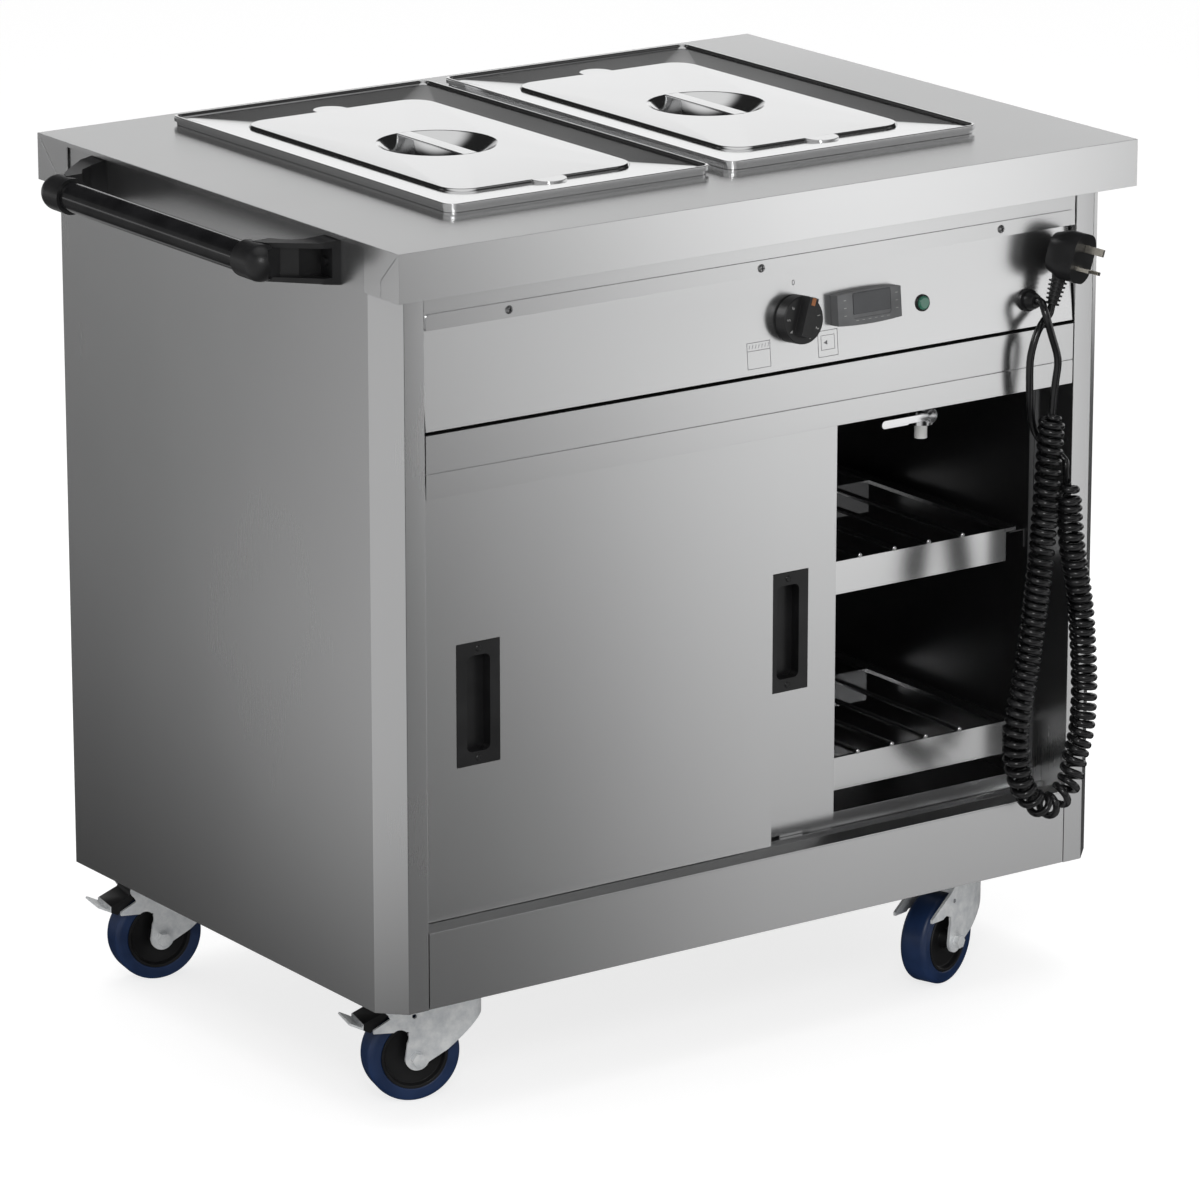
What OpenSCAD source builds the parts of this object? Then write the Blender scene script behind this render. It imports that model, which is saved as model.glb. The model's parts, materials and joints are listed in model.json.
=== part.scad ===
// Mobile bain-marie hot cupboard: two lidded pans in a heated well, over a two-door cupboard on four castors.
// X runs along the front, Y to the back and Z up, in millimetres. The modules are drawn with the front of the
// body at y = 0 and its middle at x = 0, and placed() moves them to the origin at the bottom centre.

/* [Body] */
// Width of the body over its side panels
body_w = 920; // [860:1:1100]
// Height of the worktop above the floor
top_h = 925; // [890:1:980]
// Thickness of the folded sheet
sheet = 1.5; // [1:0.1:2]
// Chamfer on the two front corners
corner_cut = 25; // [15:1:35]
// Width of the flat stile beside the front opening
stile_w = 24; // [18:1:30]
// Seam between a front panel and its neighbour
seam = 1; // [0.6:0.1:2]
// Depth of the folded returns of the front panels
return_d = 12; // [8:0.5:14]

/* [Worktop] */
// Overhang of the worktop at the front
over_front = 35; // [30:1:45]
// Overhang of the worktop at the back
over_back = 40; // [20:1:60]
// Overhang of the worktop at each side
over_side = 3; // [2.5:0.5:8]
// Height of the front and back skirts
skirt_h = 50; // [35:1:60]
// Height of the fold along the worktop's sides
side_fold_h = 5; // [3:0.5:10]
// Length of the front skirt's tab along each side
front_tab = 32; // [20:1:34]
// Length of the back skirt's tab along each side
back_tab = 42; // [20:1:60]

/* [Well] */
// Inner width of the well
well_w = 650; // [648:1:660]
// Inner length of the well from front to back
well_l = 510; // [508:1:514]
// Depth of the well below the worktop
well_depth = 177; // [150:1:190]
// Distance of the well from the front of the body
well_front = 93; // [88:1:96]
// Sideways offset of the well from the middle of the body
well_x = 10; // [0:1:20]
// Distance from the well to the back of the body
well_back = 12; // [12:1:60]
// Corner radius of the well
well_r = 20; // [10:1:30]
// Width of the flange that hangs the well
well_flange = 10; // [6:0.5:20]
// Width of the bar between the two pans
divider_w = 40; // [30:1:44]
// Height of the bar between the two pans
divider_h = 22; // [12:1:30]
// Diameter of the tubular heating elements
element_d = 8.5; // [6:0.5:10]
// Distance of an element's ends from the front and the back of the space that it heats
element_in = 60; // [40:1:80]

/* [Pans and lids] */
// Distance between the middles of the two pans
pan_pitch = 345.5; // [342:0.5:348]
// Width over a pan's rim
pan_w = 321; // [317:0.5:324]
// How far a pan's rim laps over the worktop at each end
pan_lap = 8; // [6:0.5:9]
// Width of the pan's body under the rim
pan_body_w = 300; // [296:0.5:302]
// Gap between the pan's body and the well at each end
pan_end_gap = 2.5; // [2:0.25:5]
// Depth of a pan
pan_depth = 100; // [65:1:150]
// Height of a pan's rim
pan_rim_h = 3.6; // [3:0.1:5]
// How much a pan's wall draws in from rim to floor, on each side
pan_draft = 12; // [6:0.5:16]
// Thickness of the pan and lid metal
pan_wall = 1; // [0.8:0.1:1.4]
// Width of a lid
lid_w = 325; // [324:0.5:330]
// How far a lid reaches past the pan's rim at each end
lid_lap = 2; // [1.5:0.25:4]
// Height of a lid's rolled edge
lid_edge_h = 5.3; // [4:0.1:7]
// Width of a lid's rolled edge
lid_edge_w = 4; // [3:0.1:5]
// Width of a lid's sloping border along its long sides
lid_border_w = 50; // [40:1:60]
// Width of a lid's sloping border along its short ends
lid_border_l = 64; // [50:1:80]
// Depth of a lid's valley under its edge
lid_valley = 6.3; // [4:0.1:7]
// Height of a lid's middle panel above its valley
lid_panel_rise = 2.8; // [1.5:0.1:3.5]
// Diameter of the dish in a lid
dish_d = 126; // [90:1:150]
// Depth of the dish in a lid
dish_depth = 25; // [15:1:35]
// Width of the strap across the dish
strap_w = 18; // [12:1:30]

/* [Control panel] */
// Distance from the worktop down to the top of the leaning fascia
fascia_drop = 91; // [85:1:100]
// Height of the leaning fascia
fascia_h = 103; // [90:1:115]
// How far the fascia's top leans back from its foot
fascia_lean = 10.3; // [6:0.1:14]
// Setback of the fascia's foot from the front of the body
fascia_foot = 1.2; // [0.5:0.1:3]
// Depth of the fascia's bottom return
fascia_return = 20; // [12:1:30]
// Height of the fascia's screwed top flange
fascia_flange_h = 16.3; // [12:0.1:22]
// Distance between the fascia screws
screw_pitch = 310; // [250:1:340]
// Shadow gap under the fascia
shadow_gap = 3.5; // [2:0.1:6]
// Height of the strip under the fascia
strip_h = 38.7; // [30:0.1:50]
// Middle of the regulator knob, across
knob_x = 46.5; // [30:0.5:60]
// Middle of the regulator knob, up from the fascia's foot
knob_up = 51; // [40:0.5:60]
// Diameter of the regulator knob
knob_d = 50; // [40:0.5:54]
// Height of the knob's disc
knob_h = 17; // [12:0.5:22]
// Height of the knob's grip bar over its disc
grip_h = 10; // [6:0.5:14]
// Width of the knob's grip bar
grip_w = 13; // [10:0.5:16]
// Diameter of the regulator's spindle
spindle_d = 6; // [5:0.1:8]
// Angle of the pointer, clockwise from the top
pointer_turn = 20; // [0:1:350]
// Middle of the digital controller, across
controller_x = 135; // [120:0.5:150]
// Middle of the digital controller, up from the fascia's foot
controller_up = 53; // [45:0.5:60]
// Width of the controller's bezel
controller_w = 82; // [70:0.5:90]
// Height of the controller's bezel
controller_h = 36; // [30:0.5:44]
// How far the bezel stands out
controller_t = 12; // [6:0.5:16]
// Depth of the controller behind the fascia
controller_depth = 55; // [40:1:60]
// Middle of the lamp, across
lamp_x = 212; // [200:0.5:240]
// Middle of the lamp, up from the fascia's foot
lamp_up = 45; // [35:0.5:60]
// Diameter of the lamp's lens
lamp_d = 14.5; // [10:0.5:20]
// Middle of the cable gland, across
gland_x = 350; // [340:0.5:355]
// Middle of the cable gland, up from the fascia's foot
gland_up = 29; // [20:0.5:40]
// Diameter of the gland's flange
gland_d = 24; // [20:0.5:28]
// How far the gland stands out
gland_out = 16; // [12:0.5:20]

/* [Doors] */
// Height of the plinth
plinth_h = 79; // [60:1:100]
// Depth of the door tracks
track_d = 63.5; // [63:0.5:70]
// Thickness of a door
door_t = 18; // [15:0.5:19]
// Setback of the front door from the front of the body
door_setback = 15; // [15:0.5:17]
// Gap between the two doors
door_between = 6; // [5:0.5:7]
// How far the closed doors overlap
door_overlap = 58; // [40:1:70]
// Gap between a closed door and its stile
door_end_gap = 9.4; // [4:0.1:14]
// How far the open front door has moved to the right
door_right_slid = 273; // [0:1:300]
// Height of the pelmet that hides the doors' tops
pelmet_h = 25.5; // [20:0.5:35]
// How far the doors reach up behind the pelmet
door_hidden = 11.5; // [6:0.5:12]
// Rise of the bottom track's sloping lip
lip_rise = 6.5; // [3:0.5:10]
// Depth of the bottom track's channels under its front edge
channel_drop = 5; // [3:0.5:8]
// Width of a door's flush pull
pull_w = 53; // [40:0.5:60]
// Height of a door's flush pull
pull_h = 129.5; // [100:0.5:150]
// Middle of the pulls above the doors' bottom edge
pull_up = 222; // [150:1:300]
// Distance of a pull from its door's outer edge
pull_in = 36; // [20:0.5:60]
// Width of a pull's finger recess
recess_w = 28; // [22:0.5:32]
// Height of a pull's finger recess
recess_h = 101; // [70:0.5:110]

/* [Cupboard] */
// Gap between the cupboard's inner wall and the stile's edge
jamb_w = 6; // [3:0.5:10]
// Distance from the cupboard's inner back to the back of the body
back_space = 25; // [15:1:40]
// Distance from the cupboard's front to the shelves' front rails
shelf_setback = 6.5; // [3:0.5:12]
// Height of the lower shelf's rail above the cupboard's floor
shelf_low = 29; // [20:1:60]
// Distance between the two shelves
shelf_pitch = 216.5; // [180:0.5:240]
// Height of a shelf's rails
rail_h = 36; // [20:1:45]
// Thickness of a shelf's rails
rail_t = 4; // [2:0.5:6]
// Depth of a shelf over its rails
shelf_d = 488; // [400:1:600]
// Gap between a shelf's back rail and the cupboard's back wall
shelf_back_gap = 32; // [10:0.5:60]
// Diameter of the shelf rods
rod_d = 6; // [4:0.5:8]
// Distance between the shelf rods
rod_pitch = 45.75; // [35:0.25:60]
// Gap between a shelf's ends and the cupboard's walls
shelf_end_gap = 12; // [6:0.5:18]
// Width of the ledges that carry the shelves
ledge_w = 20; // [16:0.5:30]

/* [Drain] */
// Sideways position of the drain
drain_x = 272.5; // [240:0.5:290]
// Setback of the drain valve from the front of the body
valve_y = 83; // [81:0.5:84]
// Distance of the drain's hole from the front of the body
drain_y = 125; // [123:0.5:140]
// Diameter of the drain pipe
pipe_d = 18; // [12:0.5:22]
// Diameter of the valve's body
valve_d = 28; // [22:0.5:30]
// Height of the valve's body
valve_h = 28; // [22:0.5:40]
// Distance from the cupboard's ceiling to the valve's body
valve_drop = 15; // [8:0.5:20]
// Length of the valve's lever
lever_l = 62; // [40:1:90]
// Thickness of the valve's lever
lever_t = 3; // [2:0.5:4]
// Diameter of the pin that the lever turns on
lever_pin_d = 6; // [5:0.1:8]
// Diameter of the outlet sleeve
outlet_d = 14; // [10:0.5:20]
// Length of the outlet sleeve
outlet_l = 16; // [10:0.5:40]

/* [Handle] */
// Diameter of the push bar
bar_d = 31; // [25:0.5:34]
// Distance of the push bar's middle from the side panel
bar_out = 66; // [58:0.5:80]
// Distance of the push bar's middle below the worktop
bar_drop = 28.5; // [26:0.5:60]
// Distance between the outer ends of the two brackets
bracket_span = 475; // [350:1:560]
// Diameter of the collars that hold the bar
collar_d = 38; // [36:0.5:40]
// Height of a bracket where it meets the panel
bracket_root_h = 46; // [41:0.5:49]
// Depth of the sockets that the bar sits in
socket_d = 12; // [6:0.5:16]

/* [Castors] */
// Height of a castor
castor_h = 128; // [122:1:150]
// Diameter of a wheel
wheel_d = 100; // [80:1:104]
// Width of a wheel
wheel_w = 32; // [25:0.5:36]
// Distance from the swivel axis to the wheel's axle
trail = 45; // [38:0.5:50]
// Distance of the front swivel axes from the middle
castor_x_front = 331; // [300:1:350]
// Distance of the back swivel axes from the middle
castor_x_back = 350; // [300:1:370]
// Distance of the front swivel axes from the front of the body
castor_y_front = 80; // [60:1:100]
// Distance of the back swivel axes from the back of the body
castor_in_back = 59; // [55:1:100]
// Thickness of the fork's metal
fork_t = 3; // [2:0.1:4]
// Gap between a wheel and its fork's cheeks
fork_gap = 6; // [4:0.5:8]
// Diameter of the axle bolt
axle_d = 8; // [6:0.5:12]
// Diameter of the kingpin
kingpin_d = 12; // [8:0.5:14]
// Depth of the tyre on its wheel
tyre_t = 14; // [8:0.5:20]
// Width of a brake pedal
pedal_w = 38; // [25:0.5:40]
// Diameter of a brake pedal's pivot pin
pedal_pin_d = 6; // [4:0.5:8]

/* [Cord] */
// Diameter of the mains cord
cord_d = 8; // [6:0.5:8]
// Outer diameter of the cord's curls
curl_d = 29; // [24:0.5:32]
// Distance from one curl to the next
curl_pitch = 9.8; // [9.6:0.1:14]

/* [Fits] */
// Gap on the radius between a turning piece and its pin
turn_fit = 0.05; // [0.03:0.01:0.1]
// Gap between a seated loose piece and its seat
seat_gap = 0.3; // [0.2:0.05:0.5]
// Gap on the radius around pieces that pass through sheet
hole_gap = 0.5; // [0.3:0.1:1]

/* [Hidden] */
$fn = 48;
bend_in = sheet * (sqrt(2) - 1);
half_w = body_w / 2;
body_d = max(track_d + shelf_setback + shelf_d + shelf_back_gap + back_space,
    well_front + well_l + well_back);
opening_half = half_w - corner_cut - stile_w;
panel_half = opening_half - seam;
body_top = top_h - sheet;
top_w = body_w + 2 * over_side;
top_d = body_d + over_front + over_back;

// Front panels from the worktop down
fascia_top = top_h - fascia_drop;
fascia_bottom = fascia_top - fascia_h;
fascia_tilt = atan(fascia_lean / fascia_h);
strip_top = fascia_bottom - shadow_gap;
strip_bottom = strip_top - strip_h;
pelmet_top = strip_bottom - seam;
pelmet_bottom = pelmet_top - pelmet_h;
screw_d = 4;
screw_head_d = 9;
screw_z = fascia_top + fascia_flange_h / 2;

// Front panels from the floor up
plinth_bottom = castor_h + seam;
plinth_top = plinth_bottom + plinth_h;
lip_top = plinth_top + lip_rise;
channel_z = plinth_top - channel_drop;
door_z = lip_top + 0.5;
door_top = pelmet_bottom + door_hidden;
door_h = door_top - door_z;
door_w = opening_half - door_end_gap + door_overlap / 2;
door_left_x = -opening_half + door_end_gap;
door_right_x = opening_half - door_end_gap - door_w - door_right_slid;
rear_door_y = door_setback + door_t + door_between;
track_gap = 0.3;
shoe_t = door_t - 2;
shoe_l = 30;
shoe_in = 40;
door_skin = 1.2;
pull_depth = door_t - 4;

// Cupboard
liner_t = 1;
liner_half = opening_half - jamb_w;
liner_floor = plinth_top + 2;
liner_ceiling = pelmet_bottom + 2.5;
liner_back = track_d + shelf_setback + shelf_d + shelf_back_gap;
shelf_front = track_d + shelf_setback;
shelf_half = liner_half - shelf_end_gap;
rod_count = 2 * floor((shelf_half - 30) / rod_pitch) + 1;
shelf_z = [liner_floor + shelf_low, liner_floor + shelf_low + shelf_pitch];
end_bar_w = 13;
end_bar_h = 4;

// Well, pans and lids
well_y = well_front + well_l / 2;
well_floor = top_h - well_depth;
pan_l = well_l + 2 * pan_lap;
pan_body_l = well_l - 2 * pan_end_gap;
lid_l = pan_l + 2 * lid_lap;
pan_rim_z = top_h + seat_gap;
pan_rim_top = pan_rim_z + pan_rim_h;
pan_floor_z = pan_rim_top - pan_depth;
pan_corner = 45;
lid_edge_z = pan_rim_top + seat_gap;
lid_top = lid_edge_z + lid_edge_h;
lid_valley_z = lid_top - lid_valley;
lid_panel_z = lid_valley_z + lid_panel_rise;
lid_panel_w = lid_w - 2 * lid_border_w;
lid_panel_l = lid_l - 2 * lid_border_l;
lid_corner = 12;
step_w = 3;
dish_r = dish_d / 2;
dish_sphere_r = (dish_r * dish_r + dish_depth * dish_depth) / (2 * dish_depth);

// Drain
ceiling_z = liner_ceiling + liner_t;
valve_top = liner_ceiling - valve_drop;
lever_z = valve_top - 0.6 * valve_h;
lever_hub_d = 15;
lever_back = valve_y - valve_d / 2 - 2;
pin_end = lever_back - lever_t - 2 * seat_gap;
pin_head_t = 2;
bend_r = (drain_y - valve_y) / 2;

// Handle
bar_z = top_h - bar_drop;
bar_y = body_d / 2 + 2.5;
bracket_y = bracket_span / 2;
collar_start = 44;
collar_end = 70;
bracket_wall = 4;
bracket_screw_v = 14;
handle_out = over_side > bar_out + collar_d / 2 ? 0 : bar_out + collar_d / 2 - over_side;

castor_y_back = body_d - castor_in_back;

// Castors: name, swivel x, swivel y, turn about Z, with a brake
CASTORS = [
    ["fl", -castor_x_front, castor_y_front, -15, true],
    ["fr", castor_x_front, castor_y_front, 20, false],
    ["bl", -castor_x_back, castor_y_back, -10, true],
    ["br", castor_x_back, castor_y_back, 12, false]];
wheel_r = wheel_d / 2;
plate_t = 3.5;
plate_w = 100;
plate_l = 84;
race_h = 8.5;
race_d = 58;
fork_top = castor_h - plate_t - race_h - seat_gap;
fork_half = wheel_w / 2 + fork_gap + fork_t;
nose_x = 32;
nose_start = -21;
horn_x = -trail - 47;
horn_z = wheel_r + 36;
hood_x = -trail - 10;
hood_z = wheel_r + 56;
pivot_x = -trail - 27;
pivot_z = wheel_r + 57;
kingpin_head_d = 22;
kingpin_head_t = 6;
nut_af = 13;
nut_h = 6;

// Cord: points chosen by hand on the body's own axes
lead_end = 8;
curl_r = (curl_d - cord_d) / 2;
cord_y = -35;
gland_axis = [0, -cos(fascia_tilt), sin(fascia_tilt)];
gland_base = [gland_x, fascia_y(fascia_bottom + gland_up), fascia_bottom + gland_up];
gland_tip = gland_base + gland_out * gland_axis;
curl_route = [
    [355, cord_y, 644], [345, cord_y, 505], [335, cord_y, 424], [327, cord_y, 371],
    [315, cord_y, 310], [315, cord_y, 272], [328, cord_y, 234], [358, cord_y, 211],
    [386, cord_y, 230], [396, cord_y, 262], [404, cord_y, 292], [406, cord_y, 340],
    [401, cord_y, 407], [395, cord_y, 447], [385, cord_y, 498], [379, cord_y, 549],
    [377, cord_y, 566]];
lead_route = [[349, -29, 750], [354, -32, 730], [361, -35, 703], [359, -35, 681]];
tail_route = [
    [376, -31, 590], [369, -21, 602], [358, -14, 610], [347, -15, 624], [339, -18, 645], [336, -20, 672],
    [336, -20, 700], [340, -20, 718], [347, -19, 732], [357, -17, 742]];
plug_at = [385, -21, 808];
plug_turn = 20;
plug_nod = 6;
plug_roll = 17;
plug_w = 45;
plug_h = 53;
plug_t = 34;
relief_l = 28;
relief_y = 5;
relief_end_d = 12;

// ---------------------------------------------------------------- shared shapes

// Moves a module from the body's axes to the trolley's origin
module placed() {
    translate([handle_out / 2, over_front - top_d / 2, 0]) children();
}

// Depth of the fascia's face at height z
function fascia_y(z) = fascia_foot + (z - fascia_bottom) * fascia_lean / fascia_h;

// Stands children on the fascia: x across, z up the face, -y out of it
module on_fascia(x, up) {
    translate([x, fascia_y(fascia_bottom + up), fascia_bottom + up]) rotate([-fascia_tilt, 0, 0]) children();
}

// Extrudes a profile drawn as [y, z] along x over a length, centred
module along_x(length) {
    rotate([90, 0, 90]) linear_extrude(length, center = true) children();
}

// Rectangle with round corners, centred
module round_rect(w, l, r) {
    square([w - 2 * r, l], center = true);
    square([w, l - 2 * r], center = true);
    for (x = [-1, 1], y = [-1, 1])
        translate([x * (w / 2 - r), y * (l / 2 - r)]) circle(r);
}

// Points of a rectangle with round corners at height z, anticlockwise
function round_ring(w, l, r, z) = [
    for (corner = [0:3], step = [0:4])
        let (angle = 90 * corner + 22.5 * step,
             side_x = corner == 0 || corner == 3 ? 1 : -1,
             side_y = corner < 2 ? 1 : -1)
        [side_x * (w / 2 - r) + r * cos(angle), side_y * (l / 2 - r) + r * sin(angle), z]];

// Skin over a list of rings that all have the same number of points, with flat ends
module loft(rings) {
    count = len(rings[0]);
    last = (len(rings) - 1) * count;
    polyhedron(
        points = [for (ring = rings) each ring],
        faces = concat(
            [[for (i = [0:count - 1]) i]],
            [for (start = [0:count:last - 1], i = [0:count - 1]) let (j = (i + 1) % count)
                each [[start + i, start + count + i, start + count + j],
                    [start + i, start + count + j, start + j]]],
            [[for (i = [count - 1:-1:0]) last + i]]));
}

// Tubular heating element bent to a hairpin that opens to the front
module hairpin(half_gap, length) {
    for (side = [-1, 1]) translate([side * half_gap, 0, 0]) rotate([-90, 0, 0])
        cylinder(d = element_d, h = length);
    translate([0, length, 0]) rotate_extrude(angle = 180) translate([half_gap, 0]) circle(d = element_d);
    for (side = [-1, 1]) translate([side * half_gap, -14, 0]) rotate([-90, 0, 0])
        cylinder(d = element_d + 4, h = 14);
}

// ---------------------------------------------------------------- worktop and well

// Sheet worktop with deep front and back skirts whose tabs wrap round the corners
module worktop() {
    front = -over_front;
    back = body_d + over_back;
    color("lightgray") difference() {
        union() {
            translate([-top_w / 2, front, body_top]) cube([top_w, top_d, sheet]);
            for (y = [front, back - sheet]) translate([-top_w / 2, y, top_h - skirt_h])
                cube([top_w, sheet, skirt_h]);
            for (side = [-1, 1]) {
                edge = side > 0 ? top_w / 2 - sheet : -top_w / 2;
                translate([edge, front, top_h - side_fold_h]) cube([sheet, top_d, side_fold_h]);
                translate([edge, front, 0]) side_corner(front_tab, over_front + corner_cut + 2);
                translate([edge, back, 0]) mirror([0, 1, 0]) side_corner(back_tab, over_back + 20);
            }
        }
        translate([well_x, well_y, body_top - 1]) linear_extrude(sheet + 2)
            round_rect(well_w, well_l, well_r);
    }
}

// Side of the worktop at a skirt's end: the skirt's tab, and the side fold that meets it at 45 degrees
module side_corner(tab, reach) {
    foot = top_h - skirt_h;
    rotate([90, 0, 90]) linear_extrude(sheet) {
        polygon([[0, foot], [tab, foot], [tab, top_h - tab], [0, top_h]]);
        polygon([
            [seam, top_h], [tab + seam, top_h - tab], [tab + seam, foot], [reach, foot], [reach, top_h]]);
    }
}

// Channel between the pans, level with the worktop
module divider_bar() {
    color("silver") translate([well_x, well_y, top_h]) difference() {
        translate([-divider_w / 2, -well_l / 2, -divider_h]) cube([divider_w, well_l, divider_h]);
        translate([-divider_w / 2 + sheet, -well_l / 2 - 1, -divider_h - 1])
            cube([divider_w - 2 * sheet, well_l + 2, divider_h + 1 - sheet]);
    }
}

// Water tank of the well, hung from the worktop by its flange, with the drain's hole
module well_tank() {
    color("silver") difference() {
        union() {
            translate([well_x, well_y, well_floor - sheet]) linear_extrude(well_depth)
                round_rect(well_w + 2 * sheet, well_l + 2 * sheet, well_r + sheet);
            translate([well_x, well_y, body_top - sheet]) linear_extrude(sheet)
                round_rect(well_w + 2 * well_flange, well_l + 2 * well_flange, well_r + well_flange);
        }
        translate([well_x, well_y, well_floor]) linear_extrude(well_depth) round_rect(well_w, well_l, well_r);
        translate([drain_x, drain_y, well_floor - sheet - 1]) cylinder(d = pipe_d - 4, h = sheet + 2);
    }
}

// Hairpin element clamped under the well's floor
module well_element() {
    color("dimgray") translate([well_x, well_front + element_in, well_floor - sheet - element_d / 2 - 2.2])
        hairpin(well_w / 5, well_l - 2 * element_in - well_w / 5);
}

// Drain pipe with two bends that bring it forward, and the valve's body with its pivot
module drain_body() {
    pipe_top = well_floor - sheet;
    color("silver") {
        difference() {
            union() {
                translate([drain_x, drain_y, pipe_top - 10]) cylinder(d = pipe_d, h = 10);
                translate([drain_x, drain_y - bend_r, pipe_top - 10]) rotate([90, 0, 90])
                    rotate_extrude(angle = -90) translate([bend_r, 0]) circle(d = pipe_d);
                translate([drain_x, valve_y + bend_r, pipe_top - 10 - 2 * bend_r]) rotate([90, 0, 90])
                    rotate([0, 0, 90]) rotate_extrude(angle = 90) translate([bend_r, 0]) circle(d = pipe_d);
                translate([drain_x, valve_y, valve_top])
                    cylinder(d = pipe_d, h = pipe_top - 10 - 2 * bend_r - valve_top);
                translate([drain_x, valve_y, valve_top - valve_h]) cylinder(d = valve_d, h = valve_h);
                translate([drain_x, lever_back, lever_z]) rotate([-90, 0, 0])
                    cylinder(d = 16, h = valve_d / 2);
            }
            translate([drain_x, valve_y, valve_top - valve_h - 1])
                cylinder(d = outlet_d - 4, h = valve_h / 2);
        }
        translate([drain_x, pin_end, lever_z]) rotate([-90, 0, 0])
            cylinder(d = lever_pin_d, h = lever_back - pin_end);
        translate([drain_x, pin_end - pin_head_t, lever_z]) rotate([-90, 0, 0])
            cylinder(d = lever_pin_d + 3, h = pin_head_t);
    }
}

// Quarter-turn lever, a stepped flat bar with a round eye
module drain_lever() {
    color("gray") translate([drain_x, lever_back - seat_gap, lever_z]) rotate([90, 0, 0])
        linear_extrude(lever_t)
        difference() {
            union() {
                circle(d = lever_hub_d);
                translate([-lever_l / 2, -4]) square([lever_l / 2, 8]);
                translate([-lever_l, -5]) square([lever_l / 2, 9]);
                translate([-lever_l, -0.5]) circle(d = 9);
            }
            circle(d = lever_pin_d + 2 * turn_fit);
        }
}

// Outlet sleeve under the valve
module drain_outlet() {
    color("white") translate([drain_x, valve_y, valve_top - valve_h - outlet_l]) difference() {
        cylinder(d = outlet_d, h = outlet_l);
        translate([0, 0, -1]) cylinder(d = outlet_d - 4, h = outlet_l + 2);
    }
}

// ---------------------------------------------------------------- pans and lids

// Pan with drawn-in walls, round floor edges and a turned-down rim
module pan() {
    floor_w = pan_body_w - 2 * pan_draft;
    floor_l = pan_body_l - 2 * pan_draft;
    two = 2 * pan_wall;
    lip = 2 * pan_wall;
    sweep_z = pan_floor_z + 18;
    color("gainsboro") loft([
        round_ring(floor_w - 30, floor_l - 30, 28, pan_floor_z),
        round_ring(floor_w - 8, floor_l - 8, 36, pan_floor_z + 5),
        round_ring(floor_w, floor_l, 40, sweep_z),
        round_ring(pan_body_w, pan_body_l, pan_corner, pan_rim_top - pan_wall),
        round_ring(pan_w - lip, pan_l - lip, lid_corner - 1, pan_rim_top - pan_wall),
        round_ring(pan_w - lip, pan_l - lip, lid_corner - 1, pan_rim_z),
        round_ring(pan_w, pan_l, lid_corner, pan_rim_z),
        round_ring(pan_w, pan_l, lid_corner, pan_rim_top),
        round_ring(pan_body_w - two, pan_body_l - two, pan_corner - pan_wall, pan_rim_top),
        round_ring(floor_w - two, floor_l - two, 40 - pan_wall, sweep_z),
        round_ring(floor_w - 8 - two, floor_l - 8 - two, 36 - pan_wall, pan_floor_z + 5 + pan_wall),
        round_ring(floor_w - 30, floor_l - 30, 28, pan_floor_z + pan_wall)]);
}

// Lid with a rolled edge, a sloping border, a raised middle panel, a dish and a strap to lift it by
module lid() {
    two = 2 * lid_edge_w;
    inner_w = lid_w - two;
    inner_l = lid_l - two;
    step = 2 * step_w;
    under = lid_top - pan_wall;
    color("whitesmoke") {
        difference() {
            loft([
                round_ring(lid_panel_w, lid_panel_l, 26, lid_panel_z - pan_wall),
                round_ring(lid_panel_w + step, lid_panel_l + step, 29, lid_valley_z - pan_wall),
                round_ring(inner_w, inner_l, lid_corner - lid_edge_w, under),
                round_ring(inner_w, inner_l, lid_corner - lid_edge_w, lid_edge_z),
                round_ring(lid_w - 2, lid_l - 2, lid_corner - 1, lid_edge_z),
                round_ring(lid_w, lid_l, lid_corner, lid_edge_z + 1),
                round_ring(lid_w, lid_l, lid_corner, lid_top - 1),
                round_ring(lid_w - 2, lid_l - 2, lid_corner - 1, lid_top),
                round_ring(inner_w, inner_l, lid_corner - lid_edge_w, lid_top),
                round_ring(lid_panel_w + step, lid_panel_l + step, 29, lid_valley_z),
                round_ring(lid_panel_w, lid_panel_l, 26, lid_panel_z)]);
            translate([0, 0, lid_valley_z - 10]) cylinder(r = dish_r - pan_wall, h = 30);
        }
        translate([0, 0, lid_panel_z]) rotate_extrude() polygon(concat(
            [for (step = [0:8]) dish_point(dish_sphere_r, dish_r, step / 8)],
            [for (step = [8:-1:0]) dish_point(dish_sphere_r + pan_wall, dish_r, step / 8)]));
        translate([-strap_w / 2, -dish_r - 4, lid_panel_z - pan_wall / 2]) cube([strap_w, dish_d + 8, 2]);
        for (side = [-1, 1]) translate([0, side * (lid_panel_l / 2 + 2), lid_valley_z - pan_wall / 2])
            cylinder(d = 39, h = lid_panel_rise + pan_wall / 2);
    }
}

// Point on the dish's round wall, from its middle out to its edge
function dish_point(r, edge, share) =
    let (angle = share * asin(edge / dish_sphere_r))
    [r * sin(angle), dish_sphere_r - dish_depth - r * cos(angle)];

// Puts a pan or lid in its place, side being -1 for the left and 1 for the right
module over_well(side) {
    translate([well_x + side * pan_pitch / 2, well_y, 0]) children();
}

// ---------------------------------------------------------------- carcass

// Folded side panel: side wall, 45 degree corner, flat stile and the stile's return
module side_panel(side) {
    back = body_d;
    color("silver") scale_side(side) {
        translate([0, 0, castor_h]) linear_extrude(body_top - castor_h) polygon([
            [half_w, back], [half_w, corner_cut], [half_w - corner_cut, 0], [opening_half, 0],
            [opening_half, sheet], [half_w - corner_cut - bend_in, sheet],
            [half_w - sheet, corner_cut + bend_in], [half_w - sheet, back]]);
        translate([opening_half, 0, castor_h + sheet]) cube([sheet, track_d, body_top - castor_h - sheet]);
    }
}

// Mirrors children to the left side when side is -1
module scale_side(side) {
    if (side < 0) mirror([1, 0, 0]) children();
    else children();
}

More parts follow.
